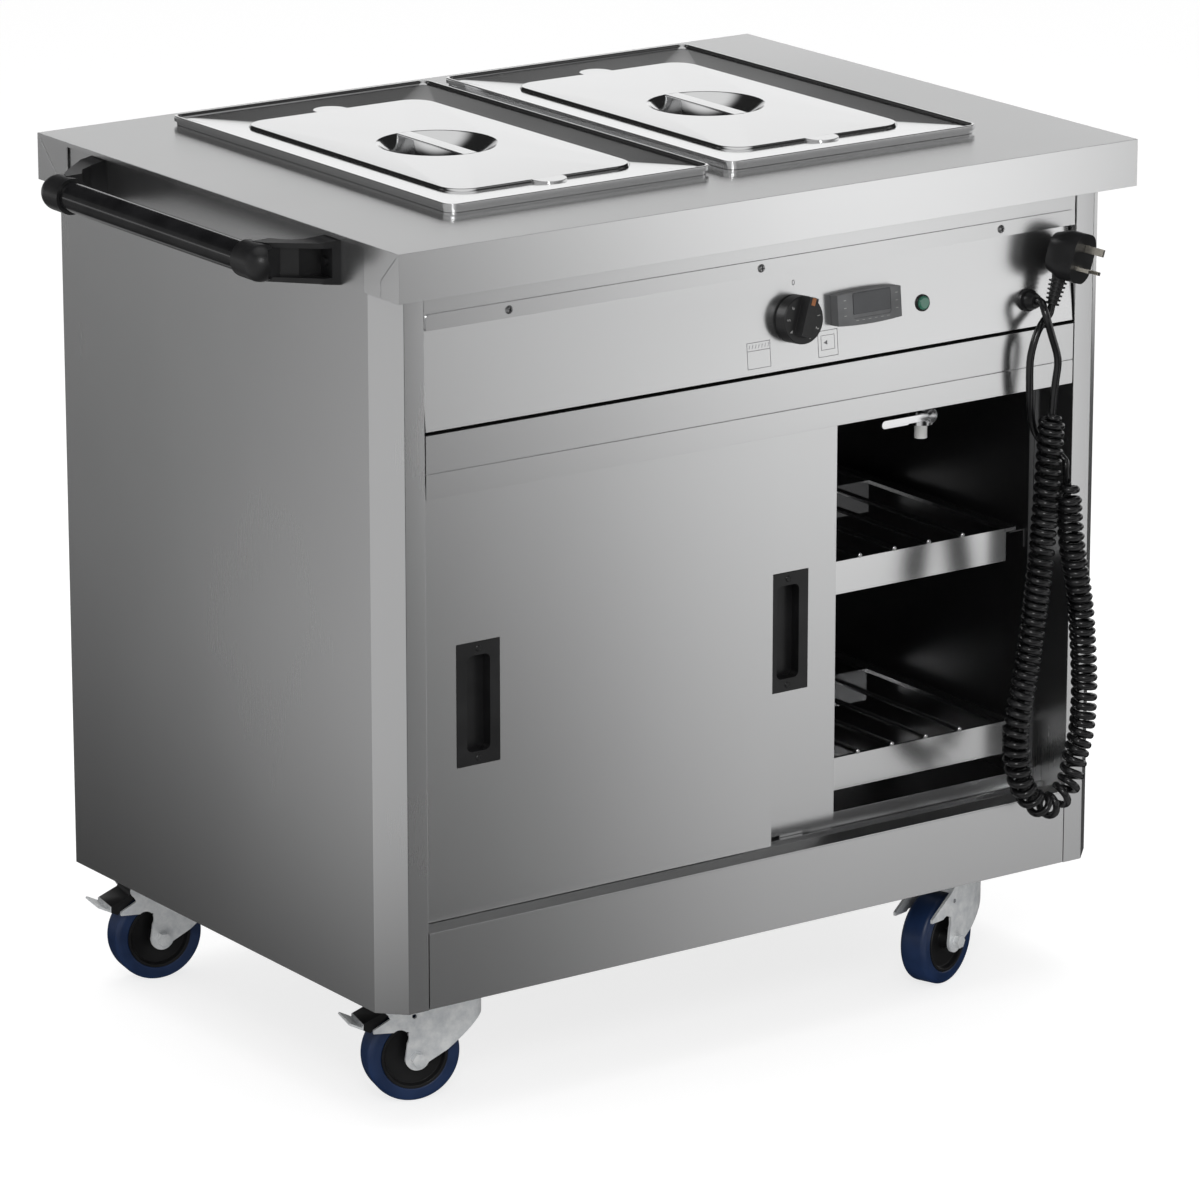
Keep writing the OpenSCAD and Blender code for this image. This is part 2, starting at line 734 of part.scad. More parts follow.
// Back panel with folded edges inside the side panels
module back_panel() {
    inner = half_w - sheet;
    height = body_top - castor_h - sheet;
    color("silver") {
        translate([-inner, body_d - sheet, castor_h + sheet]) cube([2 * inner, sheet, height]);
        for (x = [-inner, inner - sheet]) translate([x, body_d - sheet - 15, castor_h + sheet])
            cube([sheet, 15, height]);
    }
}

// Floor of the carcass, cut to the chamfered corners
module base_pan() {
    inner = half_w - sheet;
    color("silver") translate([0, 0, castor_h]) linear_extrude(sheet) polygon([
        [inner, body_d], [inner, corner_cut + bend_in], [half_w - corner_cut - bend_in, sheet],
        [-half_w + corner_cut + bend_in, sheet], [-inner, corner_cut + bend_in], [-inner, body_d]]);
}

// Plinth with a return at its top and one that stands on the base pan
module plinth() {
    foot = castor_h + sheet;
    color("silver") along_x(2 * panel_half) polygon([
        [0, plinth_bottom], [sheet, plinth_bottom], [sheet, foot], [return_d, foot], [return_d, foot + sheet],
        [sheet, foot + sheet], [sheet, plinth_top - sheet], [return_d, plinth_top - sheet],
        [return_d, plinth_top], [0, plinth_top]]);
}

// Bottom door track: sloping lip, two channels with a rib between them, and a back upstand
module bottom_track() {
    rib_front = door_setback + door_t;
    lip_d = door_setback - 1;
    lip_back = max(lip_d - sheet, return_d);
    under = channel_z - sheet;
    color("silver") along_x(2 * panel_half) polygon([
        [0, plinth_top], [0, plinth_top + sheet], [lip_d, lip_top], [lip_d, channel_z],
        [rib_front, channel_z], [rib_front, lip_top - 2.5], [rib_front + door_between, lip_top - 2.5],
        [rib_front + door_between, channel_z], [track_d - sheet, channel_z], [track_d - sheet, lip_top + 3.5],
        [track_d, lip_top + 3.5], [track_d, under], [lip_back, under], [lip_back, plinth_top]]);
}

// Top door track: pelmet, rib between the doors, back flange and a tab behind the strip above
module top_track() {
    rib_front = door_setback + door_t;
    ceiling = pelmet_top - sheet;
    tab_top = strip_bottom + 12;
    color("silver") along_x(2 * panel_half) polygon([
        [0, pelmet_bottom], [sheet, pelmet_bottom], [sheet, ceiling], [rib_front, ceiling],
        [rib_front, door_top + 3], [rib_front + door_between, door_top + 3],
            [rib_front + door_between, ceiling],
        [track_d - sheet, ceiling], [track_d - sheet, liner_ceiling], [track_d, liner_ceiling],
        [track_d, pelmet_top], [2 * sheet, pelmet_top], [2 * sheet, tab_top], [sheet, tab_top],
        [sheet, pelmet_top], [0, pelmet_top]]);
}

// Plain strip under the fascia, its face left bare
module badge_strip() {
    color("silver") along_x(2 * panel_half) polygon([
        [0, strip_bottom], [sheet, strip_bottom], [sheet, strip_top - sheet], [return_d, strip_top - sheet],
        [return_d, strip_top], [0, strip_top]]);
}

// Rail under the worktop that the fascia is screwed to
module upper_rail() {
    foot = fascia_top + sheet + 0.5;
    color("silver") difference() {
        along_x(2 * panel_half) polygon([
            [sheet, foot], [2 * sheet, foot], [2 * sheet, body_top - sheet],
            [return_d, body_top - sheet], [return_d, body_top], [sheet, body_top]]);
        screw_holes();
    }
}

// Holes for the fascia's screws
module screw_holes() {
    for (place = [-1:1]) translate([place * screw_pitch, -1, screw_z]) rotate([-90, 0, 0])
        cylinder(d = screw_d + 2 * hole_gap, h = 2 * sheet + 2);
}

// Leaning control fascia with a screwed top flange, and the cut-outs of everything it carries
module control_fascia() {
    slope = fascia_lean / fascia_h;
    flange_top = fascia_top + fascia_flange_h;
    flange_r = 5;
    face_back = sheet / cos(fascia_tilt);
    color("silver") difference() {
        along_x(2 * (panel_half - seam)) polygon([
            [fascia_return, fascia_bottom], [fascia_foot, fascia_bottom],
                [fascia_foot + fascia_lean, fascia_top],
            [0, fascia_top], [0, flange_top], [sheet, flange_top], [sheet, fascia_top + sheet],
            [fascia_y(fascia_top + sheet) + face_back, fascia_top + sheet],
            [fascia_y(fascia_bottom + sheet) + face_back, fascia_bottom + sheet],
            [fascia_return, fascia_bottom + sheet]]);
        for (side = [-1, 1]) translate([side * (panel_half - seam - flange_r), -1, flange_top - flange_r])
            rotate([-90, 0, 0]) difference() {
                translate([side > 0 ? 0 : -flange_r - 1, -flange_r - 1]) linear_extrude(sheet + 1.5)
                    square(flange_r + 1);
                translate([0, 0, -1]) cylinder(r = flange_r, h = sheet + 4);
            }
        screw_holes();
        on_fascia(knob_x, knob_up) rotate([-90, 0, 0]) cylinder(d = spindle_d + 6, h = 10, center = true);
        on_fascia(controller_x, controller_up) cube([controller_w - 10, 20, controller_h - 6], center = true);
        on_fascia(lamp_x, lamp_up) rotate([-90, 0, 0]) cylinder(d = lamp_d - 2, h = 10, center = true);
        on_fascia(gland_x, gland_up) rotate([-90, 0, 0]) cylinder(d = gland_d - 6, h = 10, center = true);
    }
}

// Pan-head screws of the fascia
module fascia_screws() {
    color("gray") for (place = [-1:1]) translate([place * screw_pitch, 0, screw_z]) rotate([90, 0, 0]) {
        difference() {
            cylinder(d1 = screw_head_d, d2 = screw_head_d - 3, h = 2.2);
            translate([-0.6, -screw_head_d, 1.2]) cube([1.2, 2 * screw_head_d, 2]);
        }
        translate([0, 0, -2 * sheet - 6]) cylinder(d = screw_d, h = 2 * sheet + 6);
    }
}

// Lining of the cupboard: a box open to the front, with jambs that reach the stiles
module cupboard_liner() {
    outer = liner_half + liner_t;
    color("darkgray") difference() {
        union() {
            translate([-outer, track_d, liner_floor - liner_t])
                cube([2 * outer, liner_back + liner_t - track_d, liner_ceiling - liner_floor + 2 * liner_t]);
            translate([-opening_half, track_d, liner_floor - liner_t])
                cube([2 * opening_half, liner_t, liner_ceiling - liner_floor + 2 * liner_t]);
        }
        translate([-liner_half, track_d - 1, liner_floor])
            cube([2 * liner_half, liner_back - track_d + 1, liner_ceiling - liner_floor]);
        translate([drain_x, valve_y, liner_ceiling - 1]) cylinder(d = pipe_d + 2 * hole_gap, h = liner_t + 2);
    }
}

// Hairpin element under the cupboard's floor
module cupboard_heater() {
    color("dimgray") translate([0, track_d + element_in, liner_floor - liner_t - element_d / 2 - 2.2])
        hairpin(liner_half / 2, liner_back - track_d - 2 * element_in - liner_half / 2);
}

// ---------------------------------------------------------------- doors

// Folded door tray with guide shoes at its top and bottom, and the pocket for its pull
module door(x, y, pull_x) {
    color("lightgray") difference() {
        union() {
            difference() {
                translate([x, y, door_z]) cube([door_w, door_t, door_h]);
                translate([x + door_skin, y + door_skin, door_z + door_skin])
                    cube([door_w - 2 * door_skin, door_t - 2 * door_skin, door_h - 2 * door_skin]);
                translate([x + 18, y + door_t - 2 * door_skin, door_z + 18])
                    cube([door_w - 36, 4 * door_skin, door_h - 36]);
            }
            for (side = [0, 1]) {
                shoe_x = x + (side == 0 ? shoe_in : door_w - shoe_in - shoe_l);
                shoe_top = pelmet_top - sheet - track_gap;
                translate([shoe_x, y + 1, channel_z + track_gap]) cube([shoe_l, shoe_t, door_z - channel_z]);
                translate([shoe_x, y + 1, door_top - 0.5]) cube([shoe_l, shoe_t, shoe_top - door_top + 0.5]);
            }
        }
        translate([pull_x - pull_w / 2, y - 1, door_z + pull_up - pull_h / 2]) cube([pull_w, 4, pull_h]);
    }
}

// Moulded flush pull with a finger recess and two screws
module pull(x, y) {
    color("black") translate([x, y, door_z + pull_up]) difference() {
        union() {
            translate([0, door_skin, 0]) rotate([90, 0, 0]) linear_extrude(door_skin + 0.6)
                round_rect(pull_w - 0.4, pull_h - 0.4, 2);
            translate([-recess_w / 2 - 2, 0, -recess_h / 2 - 2])
                cube([recess_w + 4, pull_depth, recess_h + 4]);
            for (end = [-1, 1]) translate([0, -0.6, end * (pull_h + recess_h) / 4]) rotate([90, 0, 0])
                cylinder(d1 = 7, d2 = 5, h = 1);
        }
        translate([0, pull_depth - 2, 0]) rotate([90, 0, 0]) linear_extrude(pull_depth)
            round_rect(recess_w, recess_h, 6);
    }
}

left_pull_x = door_left_x + pull_in + pull_w / 2;
right_pull_x = door_right_x + door_w - pull_in - pull_w / 2;

// ---------------------------------------------------------------- shelves

// Rod shelf: rods over three rails, with end bars that rest on the ledges
module shelf(z) {
    rod_z = z + rail_h + rod_d / 2 - 0.4;
    color("silver") {
        for (y = [shelf_front, shelf_front + shelf_d / 2 - rail_t / 2, shelf_front + shelf_d - rail_t])
            translate([-shelf_half + end_bar_w, y, z]) cube([2 * (shelf_half - end_bar_w), rail_t, rail_h]);
        for (x = [-shelf_half, shelf_half - end_bar_w])
            translate([x, shelf_front, z + rail_h - end_bar_h]) cube([end_bar_w, shelf_d, end_bar_h]);
        for (i = [0:rod_count - 1]) translate([(i - (rod_count - 1) / 2) * rod_pitch, shelf_front, rod_z]) {
            rotate([-90, 0, 0]) cylinder(d = rod_d, h = shelf_d, $fn = 24);
            for (y = [0, shelf_d]) translate([0, y, 0]) sphere(d = rod_d, $fn = 24);
        }
    }
}

// Ledges on the cupboard's walls that carry the shelves
module shelf_supports() {
    color("silver") for (z = shelf_z, side = [-1, 1]) scale_side(side) {
        top = z + rail_h - end_bar_h - seat_gap;
        translate([liner_half - ledge_w, shelf_front, top - sheet]) cube([ledge_w, shelf_d, sheet]);
        translate([liner_half - sheet, shelf_front, top - 20]) cube([sheet, shelf_d, 20]);
    }
}

// ---------------------------------------------------------------- controls

// Knob: thick disc with a grip bar across it, turning on the regulator's spindle
module control_knob() {
    color("black") on_fascia(knob_x, knob_up) rotate([90, 0, 0]) rotate([0, 0, -pointer_turn]) difference() {
        union() {
            translate([0, 0, seat_gap]) cylinder(d1 = knob_d - 3, d2 = knob_d, h = 2);
            translate([0, 0, 2 + seat_gap]) cylinder(d = knob_d, h = knob_h - 3);
            translate([0, 0, knob_h - 1 + seat_gap]) cylinder(d1 = knob_d, d2 = knob_d - 2, h = 1);
            intersection() {
                translate([0, 0, knob_h - 1]) cylinder(d = knob_d - 1, h = grip_h + 1);
                rotate([90, 0, 0]) linear_extrude(knob_d, center = true) polygon([
                    [-grip_w / 2 - 2, knob_h - 1], [grip_w / 2 + 2, knob_h - 1],
                    [grip_w / 2 - 1, knob_h + grip_h], [-grip_w / 2 + 1, knob_h + grip_h]]);
                translate([-knob_d / 2, -knob_d / 2 + 8, 0]) cube([knob_d, knob_d, knob_h + grip_h]);
            }
        }
        cylinder(d = spindle_d + 2 * turn_fit, h = knob_h - 2);
        pointer_block(0.1);
    }
}

// Block at the grip's outer end that carries the pointer's colour
module pointer_block(grow) {
    translate([-2.5 - grow, knob_d / 2 - 9 - grow, knob_h + grip_h - 3.5 - grow])
        cube([5 + 2 * grow, 8 + 2 * grow, 3.5 + 2 * grow]);
}

// Pointer let into the end of the grip
module knob_pointer() {
    color("chocolate") on_fascia(knob_x, knob_up) rotate([90, 0, 0]) rotate([0, 0, -pointer_turn])
        pointer_block(0);
}

// Regulator behind the fascia, with the spindle that the knob turns on
module regulator_body() {
    color("gray") on_fascia(knob_x, knob_up) {
        translate([-21, sheet, -21]) cube([42, 32, 42]);
        rotate([90, 0, 0]) translate([0, 0, -sheet]) cylinder(d = spindle_d, h = sheet + knob_h - 4);
    }
}

// Digital controller: convex bezel, sunk screen and a body behind the fascia
module controller_unit() {
    bulge_r = 420;
    color("dimgray") on_fascia(controller_x, controller_up) {
        rotate([90, 0, 0]) difference() {
            linear_extrude(controller_t) intersection() {
                round_rect(controller_w, controller_h, 3);
                for (side = [-1]) translate([0, controller_h / 2 - bulge_r]) circle(r = bulge_r, $fn = 96);
                translate([0, bulge_r - controller_h / 2]) circle(r = bulge_r, $fn = 96);
            }
            translate([3, 3, controller_t - 0.6]) linear_extrude(1) round_rect(49, controller_h - 9, 3);
        }
        translate([-controller_w / 2 + 6, -0.5, -controller_h / 2 + 4])
            cube([controller_w - 12, controller_depth, controller_h - 8]);
    }
}

// Lamp: domed lens with its body behind the fascia
module indicator_lamp() {
    color("seagreen") on_fascia(lamp_x, lamp_up) rotate([90, 0, 0]) {
        cylinder(d = lamp_d, h = 3);
        translate([0, 0, 3]) cylinder(d1 = lamp_d, d2 = lamp_d - 3, h = 1.5);
        translate([0, 0, -25]) cylinder(d = lamp_d - 3, h = 25);
    }
}

// Cable gland: flange, dome and the thread behind the fascia
module cable_gland() {
    color("black") on_fascia(gland_x, gland_up) rotate([90, 0, 0]) {
        cylinder(d = gland_d, h = 4);
        translate([0, 0, 4]) cylinder(d = gland_d - 5, h = gland_out - 10);
        translate([0, 0, gland_out - 6]) cylinder(d1 = gland_d - 5, d2 = gland_d - 10, h = 6);
        translate([0, 0, -14]) cylinder(d = gland_d - 7, h = 14);
    }
}

// ---------------------------------------------------------------- handle

// Push bar between the two sockets
module handle_bar() {
    reach = bracket_y - collar_end + socket_d;
    color("black") translate([-half_w - bar_out, bar_y - reach, bar_z]) rotate([-90, 0, 0])
        cylinder(d = bar_d, h = 2 * reach);
}

// Hollow swept bracket: a flared arm with an open pocket, a collar with the bar's socket and a screw
module handle_bracket(side) {
    start = bar_out - collar_d / 2;
    color("black") translate([-half_w, bar_y, bar_z]) scale_front(side) translate([0, -bracket_y, 0]) {
        difference() {
            union() {
                intersection() {
                    linear_extrude(bracket_root_h, center = true) polygon([
                        [0, 0], [-17, 4], [-35, 20], [-bar_out + 6, collar_start],
                            [-bar_out, collar_end - 12],
                        [-start, collar_end - 12], [-start + 10, 42], [-20, 32], [0, 28]]);
                    rotate([90, 0, 0]) linear_extrude(4 * collar_end, center = true) polygon([
                        [1, bracket_root_h / 2], [-22, collar_d / 2 + 1.5],
                            [-bar_out - collar_d / 2, collar_d / 2],
                        [-bar_out - collar_d / 2, -collar_d / 2], [-22, -collar_d / 2 - 1.5],
                            [1, -bracket_root_h / 2]]);
                }
                translate([-bar_out, collar_start, 0]) rotate([-90, 0, 0]) {
                    cylinder(d = collar_d, h = collar_end - collar_start);
                    sphere(d = collar_d);
                }
            }
            linear_extrude(collar_d - 2 * bracket_wall, center = true) polygon([
                [-9, 23], [-9, -8], [-40, -8], [-bar_out - 2, 26], [-bar_out + 6, collar_start - 4],
                [-46, collar_start - 5], [-32, 27]]);
            translate([-bar_out, collar_end - socket_d, 0]) rotate([-90, 0, 0])
                cylinder(d = bar_d + 0.1, h = socket_d + 1);
        }
        translate([-9, bracket_screw_v, 0]) rotate([0, -90, 0]) cylinder(d = 9, h = 3);
    }
}

// Mirrors children to the back when side is 1
module scale_front(side) {
    if (side > 0) mirror([0, 1, 0]) children();
    else children();
}

// ---------------------------------------------------------------- castors

// Puts a castor's piece at its swivel axis, turned as it stands
module at_castor(castor) {
    translate([castor[1], castor[2], 0]) rotate([0, 0, castor[3]]) children();
}

// Fixed top plates, each with its bearing race and kingpin
module castor_plates() {
    color("lightgray") for (castor = CASTORS) translate([castor[1], castor[2], 0]) {
        translate([0, 0, castor_h - plate_t]) linear_extrude(plate_t) round_rect(plate_w, plate_l, 6);
        translate([0, 0, castor_h - plate_t - race_h]) cylinder(d = race_d, h = race_h);
        translate([0, 0, fork_top - fork_t - seat_gap - kingpin_head_t]) {
            cylinder(d = kingpin_d, h = castor_h - plate_t - fork_top + fork_t + seat_gap + kingpin_head_t);
            cylinder(d = kingpin_head_d, h = kingpin_head_t);
        }
    }
}

// Plan of the fork: straight cheeks closed by a half-elliptic nose
module fork_plan(inset) {
    wide = fork_half - inset;
    nose = nose_x - inset - nose_start;
    polygon(concat(
        [[horn_x - 20, wide], [horn_x - 20, -wide]],
        [for (step = [0:20]) let (angle = -90 + 9 * step) [nose_start + nose * cos(angle),
            wide * sin(angle)]]));
}

// Side outline of the fork; drop lowers the hood's line for the inside
module fork_outline(drop) {
    axle = [-trail, wheel_r];
    top = fork_top - drop;
    difference() {
        polygon([
            [nose_x + 1, top], [nose_x + 1, fork_top - 28], [-12, wheel_r + 6], [-trail + 12, wheel_r - 5],
            [-trail - 13, wheel_r], [-trail - 9, wheel_r + 30], [horn_x, horn_z - 4], [horn_x, horn_z - drop],
            [hood_x, hood_z - drop], [hood_x + 12, top]]);
        translate([-trail - 19, wheel_r + 23]) circle(r = 10);
    }
    translate(axle) circle(r = 13);
}

// Pressed swivel fork with its axle bolt, and ears with a pin where it carries a brake
module castor_fork(castor) {
    brake = castor[4];
    color("lightsteelblue") at_castor(castor) {
        difference() {
            intersection() {
                linear_extrude(fork_top) fork_plan(0);
                rotate([90, 0, 0]) linear_extrude(4 * fork_half, center = true) union() {
                    fork_outline(0);
                    if (brake) brake_ear();
                }
            }
            intersection() {
                translate([0, 0, -1]) linear_extrude(fork_top) fork_plan(fork_t);
                rotate([90, 0, 0]) linear_extrude(4 * fork_half, center = true) union() {
                    fork_outline(fork_t);
                    translate([horn_x - 10, 0]) square([nose_x - horn_x + 9, wheel_r + 34]);
                    translate([horn_x - 21, 0]) square([hood_x - horn_x + 24, fork_top + 1]);
                }
            }
            translate([0, 0, fork_top - 10]) cylinder(d = kingpin_d + 2 * turn_fit, h = 20);
            translate([-trail, 0, wheel_r]) rotate([90, 0, 0])
                cylinder(d = axle_d + 0.1, h = 4 * fork_half, center = true);
            translate([-trail - 3, 0, wheel_r + 46]) rotate([90, 0, 0])
                cylinder(d = 5, h = 4 * fork_half, center = true);
        }
        axle_bolt();
        if (brake) translate([pivot_x, 0, pivot_z]) rotate([90, 0, 0])
            cylinder(d = pedal_pin_d, h = 2 * (fork_half - fork_t) + 0.2, center = true);
    }
}
hood_slope = -atan((hood_z - horn_z) / (hood_x - horn_x));

// Outline of the ears that hold the brake's pin, standing on the cheeks
module brake_ear() {
    translate([pivot_x, pivot_z]) {
        circle(r = 8);
        rotate(-hood_slope) translate([-7, -14]) square([14, 14]);
    }
}

// Axle bolt with its hexagon head, washer faces and nut
module axle_bolt() {
    translate([-trail, 0, wheel_r]) rotate([90, 0, 0]) {
        cylinder(d = axle_d, h = 2 * fork_half + 14, center = true);
        for (side = [-1, 1]) {
            translate([0, 0, side * (fork_half + 0.8)]) cylinder(d = nut_af + 3, h = 1.6, center = true);
            translate([0, 0, side * (fork_half + 1.6 + nut_h / 2)])
                cylinder(d = nut_af / cos(30), h = nut_h, center = true, $fn = 6);
        }
    }
}

// Wheel hub with recessed faces and bosses that run against the cheeks
module wheel_hub(castor) {
    rim_r = wheel_r - tyre_t;
    boss_half = fork_half - fork_t - seat_gap;
    color("black") at_castor(castor) translate([-trail, 0, wheel_r]) rotate([90, 0, 0]) rotate_extrude()
        polygon([
        [axle_d / 2 + turn_fit, -boss_half], [axle_d / 2 + 5, -boss_half], [axle_d / 2 + 7, -wheel_w / 2 + 6],
        [rim_r - 5, -wheel_w / 2 + 5], [rim_r - 3, -wheel_w / 2], [rim_r, -wheel_w / 2],
        [rim_r, wheel_w / 2], [rim_r - 3, wheel_w / 2], [rim_r - 5, wheel_w / 2 - 5],
        [axle_d / 2 + 7, wheel_w / 2 - 6], [axle_d / 2 + 5, boss_half], [axle_d / 2 + turn_fit, boss_half]]);
}

// Rubber tyre with rounded shoulders
module tyre(castor) {
    rim_r = wheel_r - tyre_t;
    half = wheel_w / 2;
    round_r = 6;
    color("midnightblue") at_castor(castor) translate([-trail, 0, wheel_r]) rotate([90, 0, 0])
        rotate_extrude()
        polygon(concat(
            [[rim_r, half - 1], [rim_r, -half + 1], [rim_r + 2, -half]],
            [for (angle = [-90:15:0]) [wheel_r - round_r + round_r * cos(angle),
                -half + round_r + round_r * sin(angle)]],
            [for (angle = [0:15:90]) [wheel_r - round_r + round_r * cos(angle),
                half - round_r + round_r * sin(angle)]],
            [[rim_r + 2, half]]));
}

// Brake pedal: a plate that comes out between the fork's cheeks, under a moulded pad, with its pivot boss
module brake_pedal(castor) {
    wide = min(pedal_w, 2 * (fork_half - fork_t) - 1);
    color("black") at_castor(castor) rotate([90, 0, 0]) difference() {
        union() {
            translate([pivot_x, pivot_z, -wide / 2]) cylinder(d = pedal_pin_d + 8, h = wide);
            translate([horn_x, horn_z, 0]) linear_extrude(wide, center = true) polygon([
                [-24.5, 6.5], [-1.5, -4.8], [21, 14.2], [17, 27], [12, 15.5], [-10, 5.5], [-10, 2.4],
                    [-23.4, 8.9]]);
        }
        translate([pivot_x, pivot_z, 0])
            cylinder(d = pedal_pin_d + 2 * turn_fit, h = 2 * wide, center = true);
    }
}

// ---------------------------------------------------------------- cord and plug

function unit(v) = v / norm(v);

// Point on a smooth curve through the points of p, between point k and the next
function curve(p, k, f) =
    let (n = len(p) - 1, a = p[max(k - 1, 0)], b = p[k], c = p[min(k + 1, n)], d = p[min(k + 2, n)])
    b + ((c - a) * f + (2 * a - 5 * b + 4 * c - d) * f * f + (3 * b - a - 3 * c + d) * f * f * f) / 2;

// Smooth path through the points of p, with its start and end kept
function smooth_path(p, parts) = concat(
    [for (k = [0:len(p) - 2], i = [0:parts - 1]) curve(p, k, i / parts)], [p[len(p) - 1]]);

// Ring of a tube round point c, square to axis t, with its first corner towards u
function tube_ring(c, t, u, r, sides) =
    let (a = unit(u - (u * t) * t), b = cross(t, a))
    [for (i = [0:sides - 1]) c + r * (cos(360 * i / sides) * a + sin(360 * i / sides) * b)];

// Free stretch of cord: a tube along a path, its ends square to the given directions
module cord_tube(path, start_axis, end_axis) {
    last = len(path) - 1;
    loft([for (i = [0:last])
        let (t = i == 0 ? start_axis : i == last ? end_axis : unit(path[i + 1] - path[i - 1]))
        tube_ring(path[i], t, [0.9, 0.1, 0.05] + 0.2 * gland_axis, cord_d / 2, 8)]);
}

// The curls: middle line, its lengths and how many turns lie on each stretch
curl_start_axis = unit(curve(curl_route, 0, 0.01) - curl_route[0]);
curl_last = len(curl_route) - 1;
curl_end_axis = unit(curl_route[curl_last] - curve(curl_route, curl_last - 1, 0.99));
curl_top = curl_route[0] - lead_end * curl_start_axis;
curl_tail = curl_route[curl_last] + lead_end * curl_end_axis;
function stretch(k) = norm(curl_route[k + 1] - curl_route[k]);
function bend(k) = k == 0 || k == curl_last ? 0 :
    let (a = unit(curl_route[k] - curl_route[k - 1]), b = unit(curl_route[k + 1] - curl_route[k]))
    acos(min(a * b, 1)) * PI / 180 / ((stretch(k - 1) + stretch(k)) / 2);
function turns(k) = stretch(k) * (1 - max(bend(k), bend(k + 1)) * curl_r) / curl_pitch;
function turns_before(k, sum = 0, i = 0) = i == k ? sum : turns_before(k, sum + turns(i), i + 1);
turn_marks = [for (k = [0:curl_last]) turns_before(k)];
curl_turns = turn_marks[curl_last];
function stretch_at(turn, k = 0) = k >= curl_last - 1 || turn < turn_marks[k + 1] ? k :
    stretch_at(turn, k + 1);
function middle_at(turn) =
    let (k = stretch_at(turn), f = (turn - turn_marks[k]) / (turn_marks[k + 1] - turn_marks[k]))
    curve(curl_route, k, f);
function ease(x) = let (f = min(max(x, 0), 1)) f * f * (3 - 2 * f);
function curl_side(turn) =
    let (t = unit(middle_at(min(turn + 0.1, curl_turns)) - middle_at(max(turn - 0.1, 0))))
    cos(360 * turn) * cross(t, [0, 1, 0]) + sin(360 * turn) * [0, 1, 0];
function curl_point(turn) =
    middle_at(turn) + curl_r * ease(min(turn, curl_turns - turn) / 1.5) * curl_side(turn);

// Curly cord: one unbroken tube wound along its middle line, straight at both ends
module cord_curls() {
    steps = floor(curl_turns * 8);
    wound = [for (i = [0:steps]) curl_point(curl_turns * i / steps)];
    path = concat([curl_top], wound, [curl_tail]);
    last = len(path) - 1;
    gap = min([for (i = [0:steps - 13], j = [5:13]) norm(wound[i + j] - wound[i])]) - cord_d;
    echo(curls = curl_turns, least_gap = gap);
    color("black") loft([for (i = [0:last])
        let (t = i == 0 ? curl_start_axis : i == last ? curl_end_axis : unit(path[i + 1] - path[i - 1]),
             side = curl_side(min(max(i - 1, 0), steps) * curl_turns / steps))
        tube_ring(path[i], t, side, cord_d / 2, 6)]);
}

// Stretch from the gland to the curls
module cord_lead() {
    path = smooth_path(concat([gland_tip, gland_tip + lead_end * gland_axis], lead_route,
        [curl_top - 12 * curl_start_axis, curl_top]), 2);
    color("black") cord_tube(path, gland_axis, curl_start_axis);
}

// Stretch from the curls to the plug's strain relief
module cord_tail() {
    path = smooth_path(concat([curl_tail, curl_tail + 12 * curl_end_axis], tail_route,
        [relief_tip + 10 * relief_axis, relief_tip]), 2);
    color("black") cord_tube(path, curl_end_axis, -relief_axis);
}

// Turns a direction of the plug to the body's axes
function about_z(v, a) = [v[0] * cos(a) - v[1] * sin(a), v[0] * sin(a) + v[1] * cos(a), v[2]];
function about_x(v, a) = [v[0], v[1] * cos(a) - v[2] * sin(a), v[1] * sin(a) + v[2] * cos(a)];
function about_y(v, a) = [v[0] * cos(a) + v[2] * sin(a), v[1], v[2] * cos(a) - v[0] * sin(a)];
function plug_dir(v) = about_z(about_x(about_y(v, plug_roll), plug_nod), plug_turn);
relief_axis = plug_dir([0, 0, -1]);
relief_tip = plug_at + plug_dir([0, relief_y, -plug_h / 2 - relief_l]);

// Puts children in the plug's place: pins point to -y and the cord leaves at -z
module at_plug() {
    translate(plug_at) rotate([0, 0, plug_turn]) rotate([plug_nod, 0, 0]) rotate([0, plug_roll, 0])
        children();
}

// Moulded plug with a smaller back and a ribbed strain relief
module plug_body() {
    ribs = 6;
    rib_pitch = relief_l / ribs;
    root_d = 17;
    color("black") at_plug() {
        hull() {
            rotate([90, 0, 0]) linear_extrude(plug_t / 2) round_rect(plug_w, plug_h, 17, $fn = 32);
            translate([0, plug_t / 2, 0]) rotate([90, 0, 0]) linear_extrude(1)
                round_rect(plug_w - 9, plug_h - 11, 15, $fn = 32);
        }
        translate([0, relief_y, -plug_h / 2 - relief_l]) rotate_extrude() polygon(concat(
            [[0, relief_l + 4], [0, 0], [relief_end_d / 2, 0]],
            [for (i = [0:ribs - 1]) let (r = relief_end_d / 2 + (root_d - relief_end_d) / 2 * i / ribs)
                each [[r + 1.5, i * rib_pitch + 0.6], [r + 1.5, (i + 0.5) * rib_pitch],
                      [r - 0.8, (i + 0.5) * rib_pitch + 0.4], [r - 0.8, (i + 1) * rib_pitch]]],
            [[root_d / 2, relief_l + 4]]));
    }
}

// Three flat pins on the plug's face
module plug_pins() {
    color("dimgray") at_plug() {
        translate([-2, -plug_t / 2 - 22, 7]) cube([4, 22, 8]);
        for (side = [-1, 1]) translate([side * 11 - 3, -plug_t / 2 - 17, -13]) cube([6, 17, 4]);
    }
}

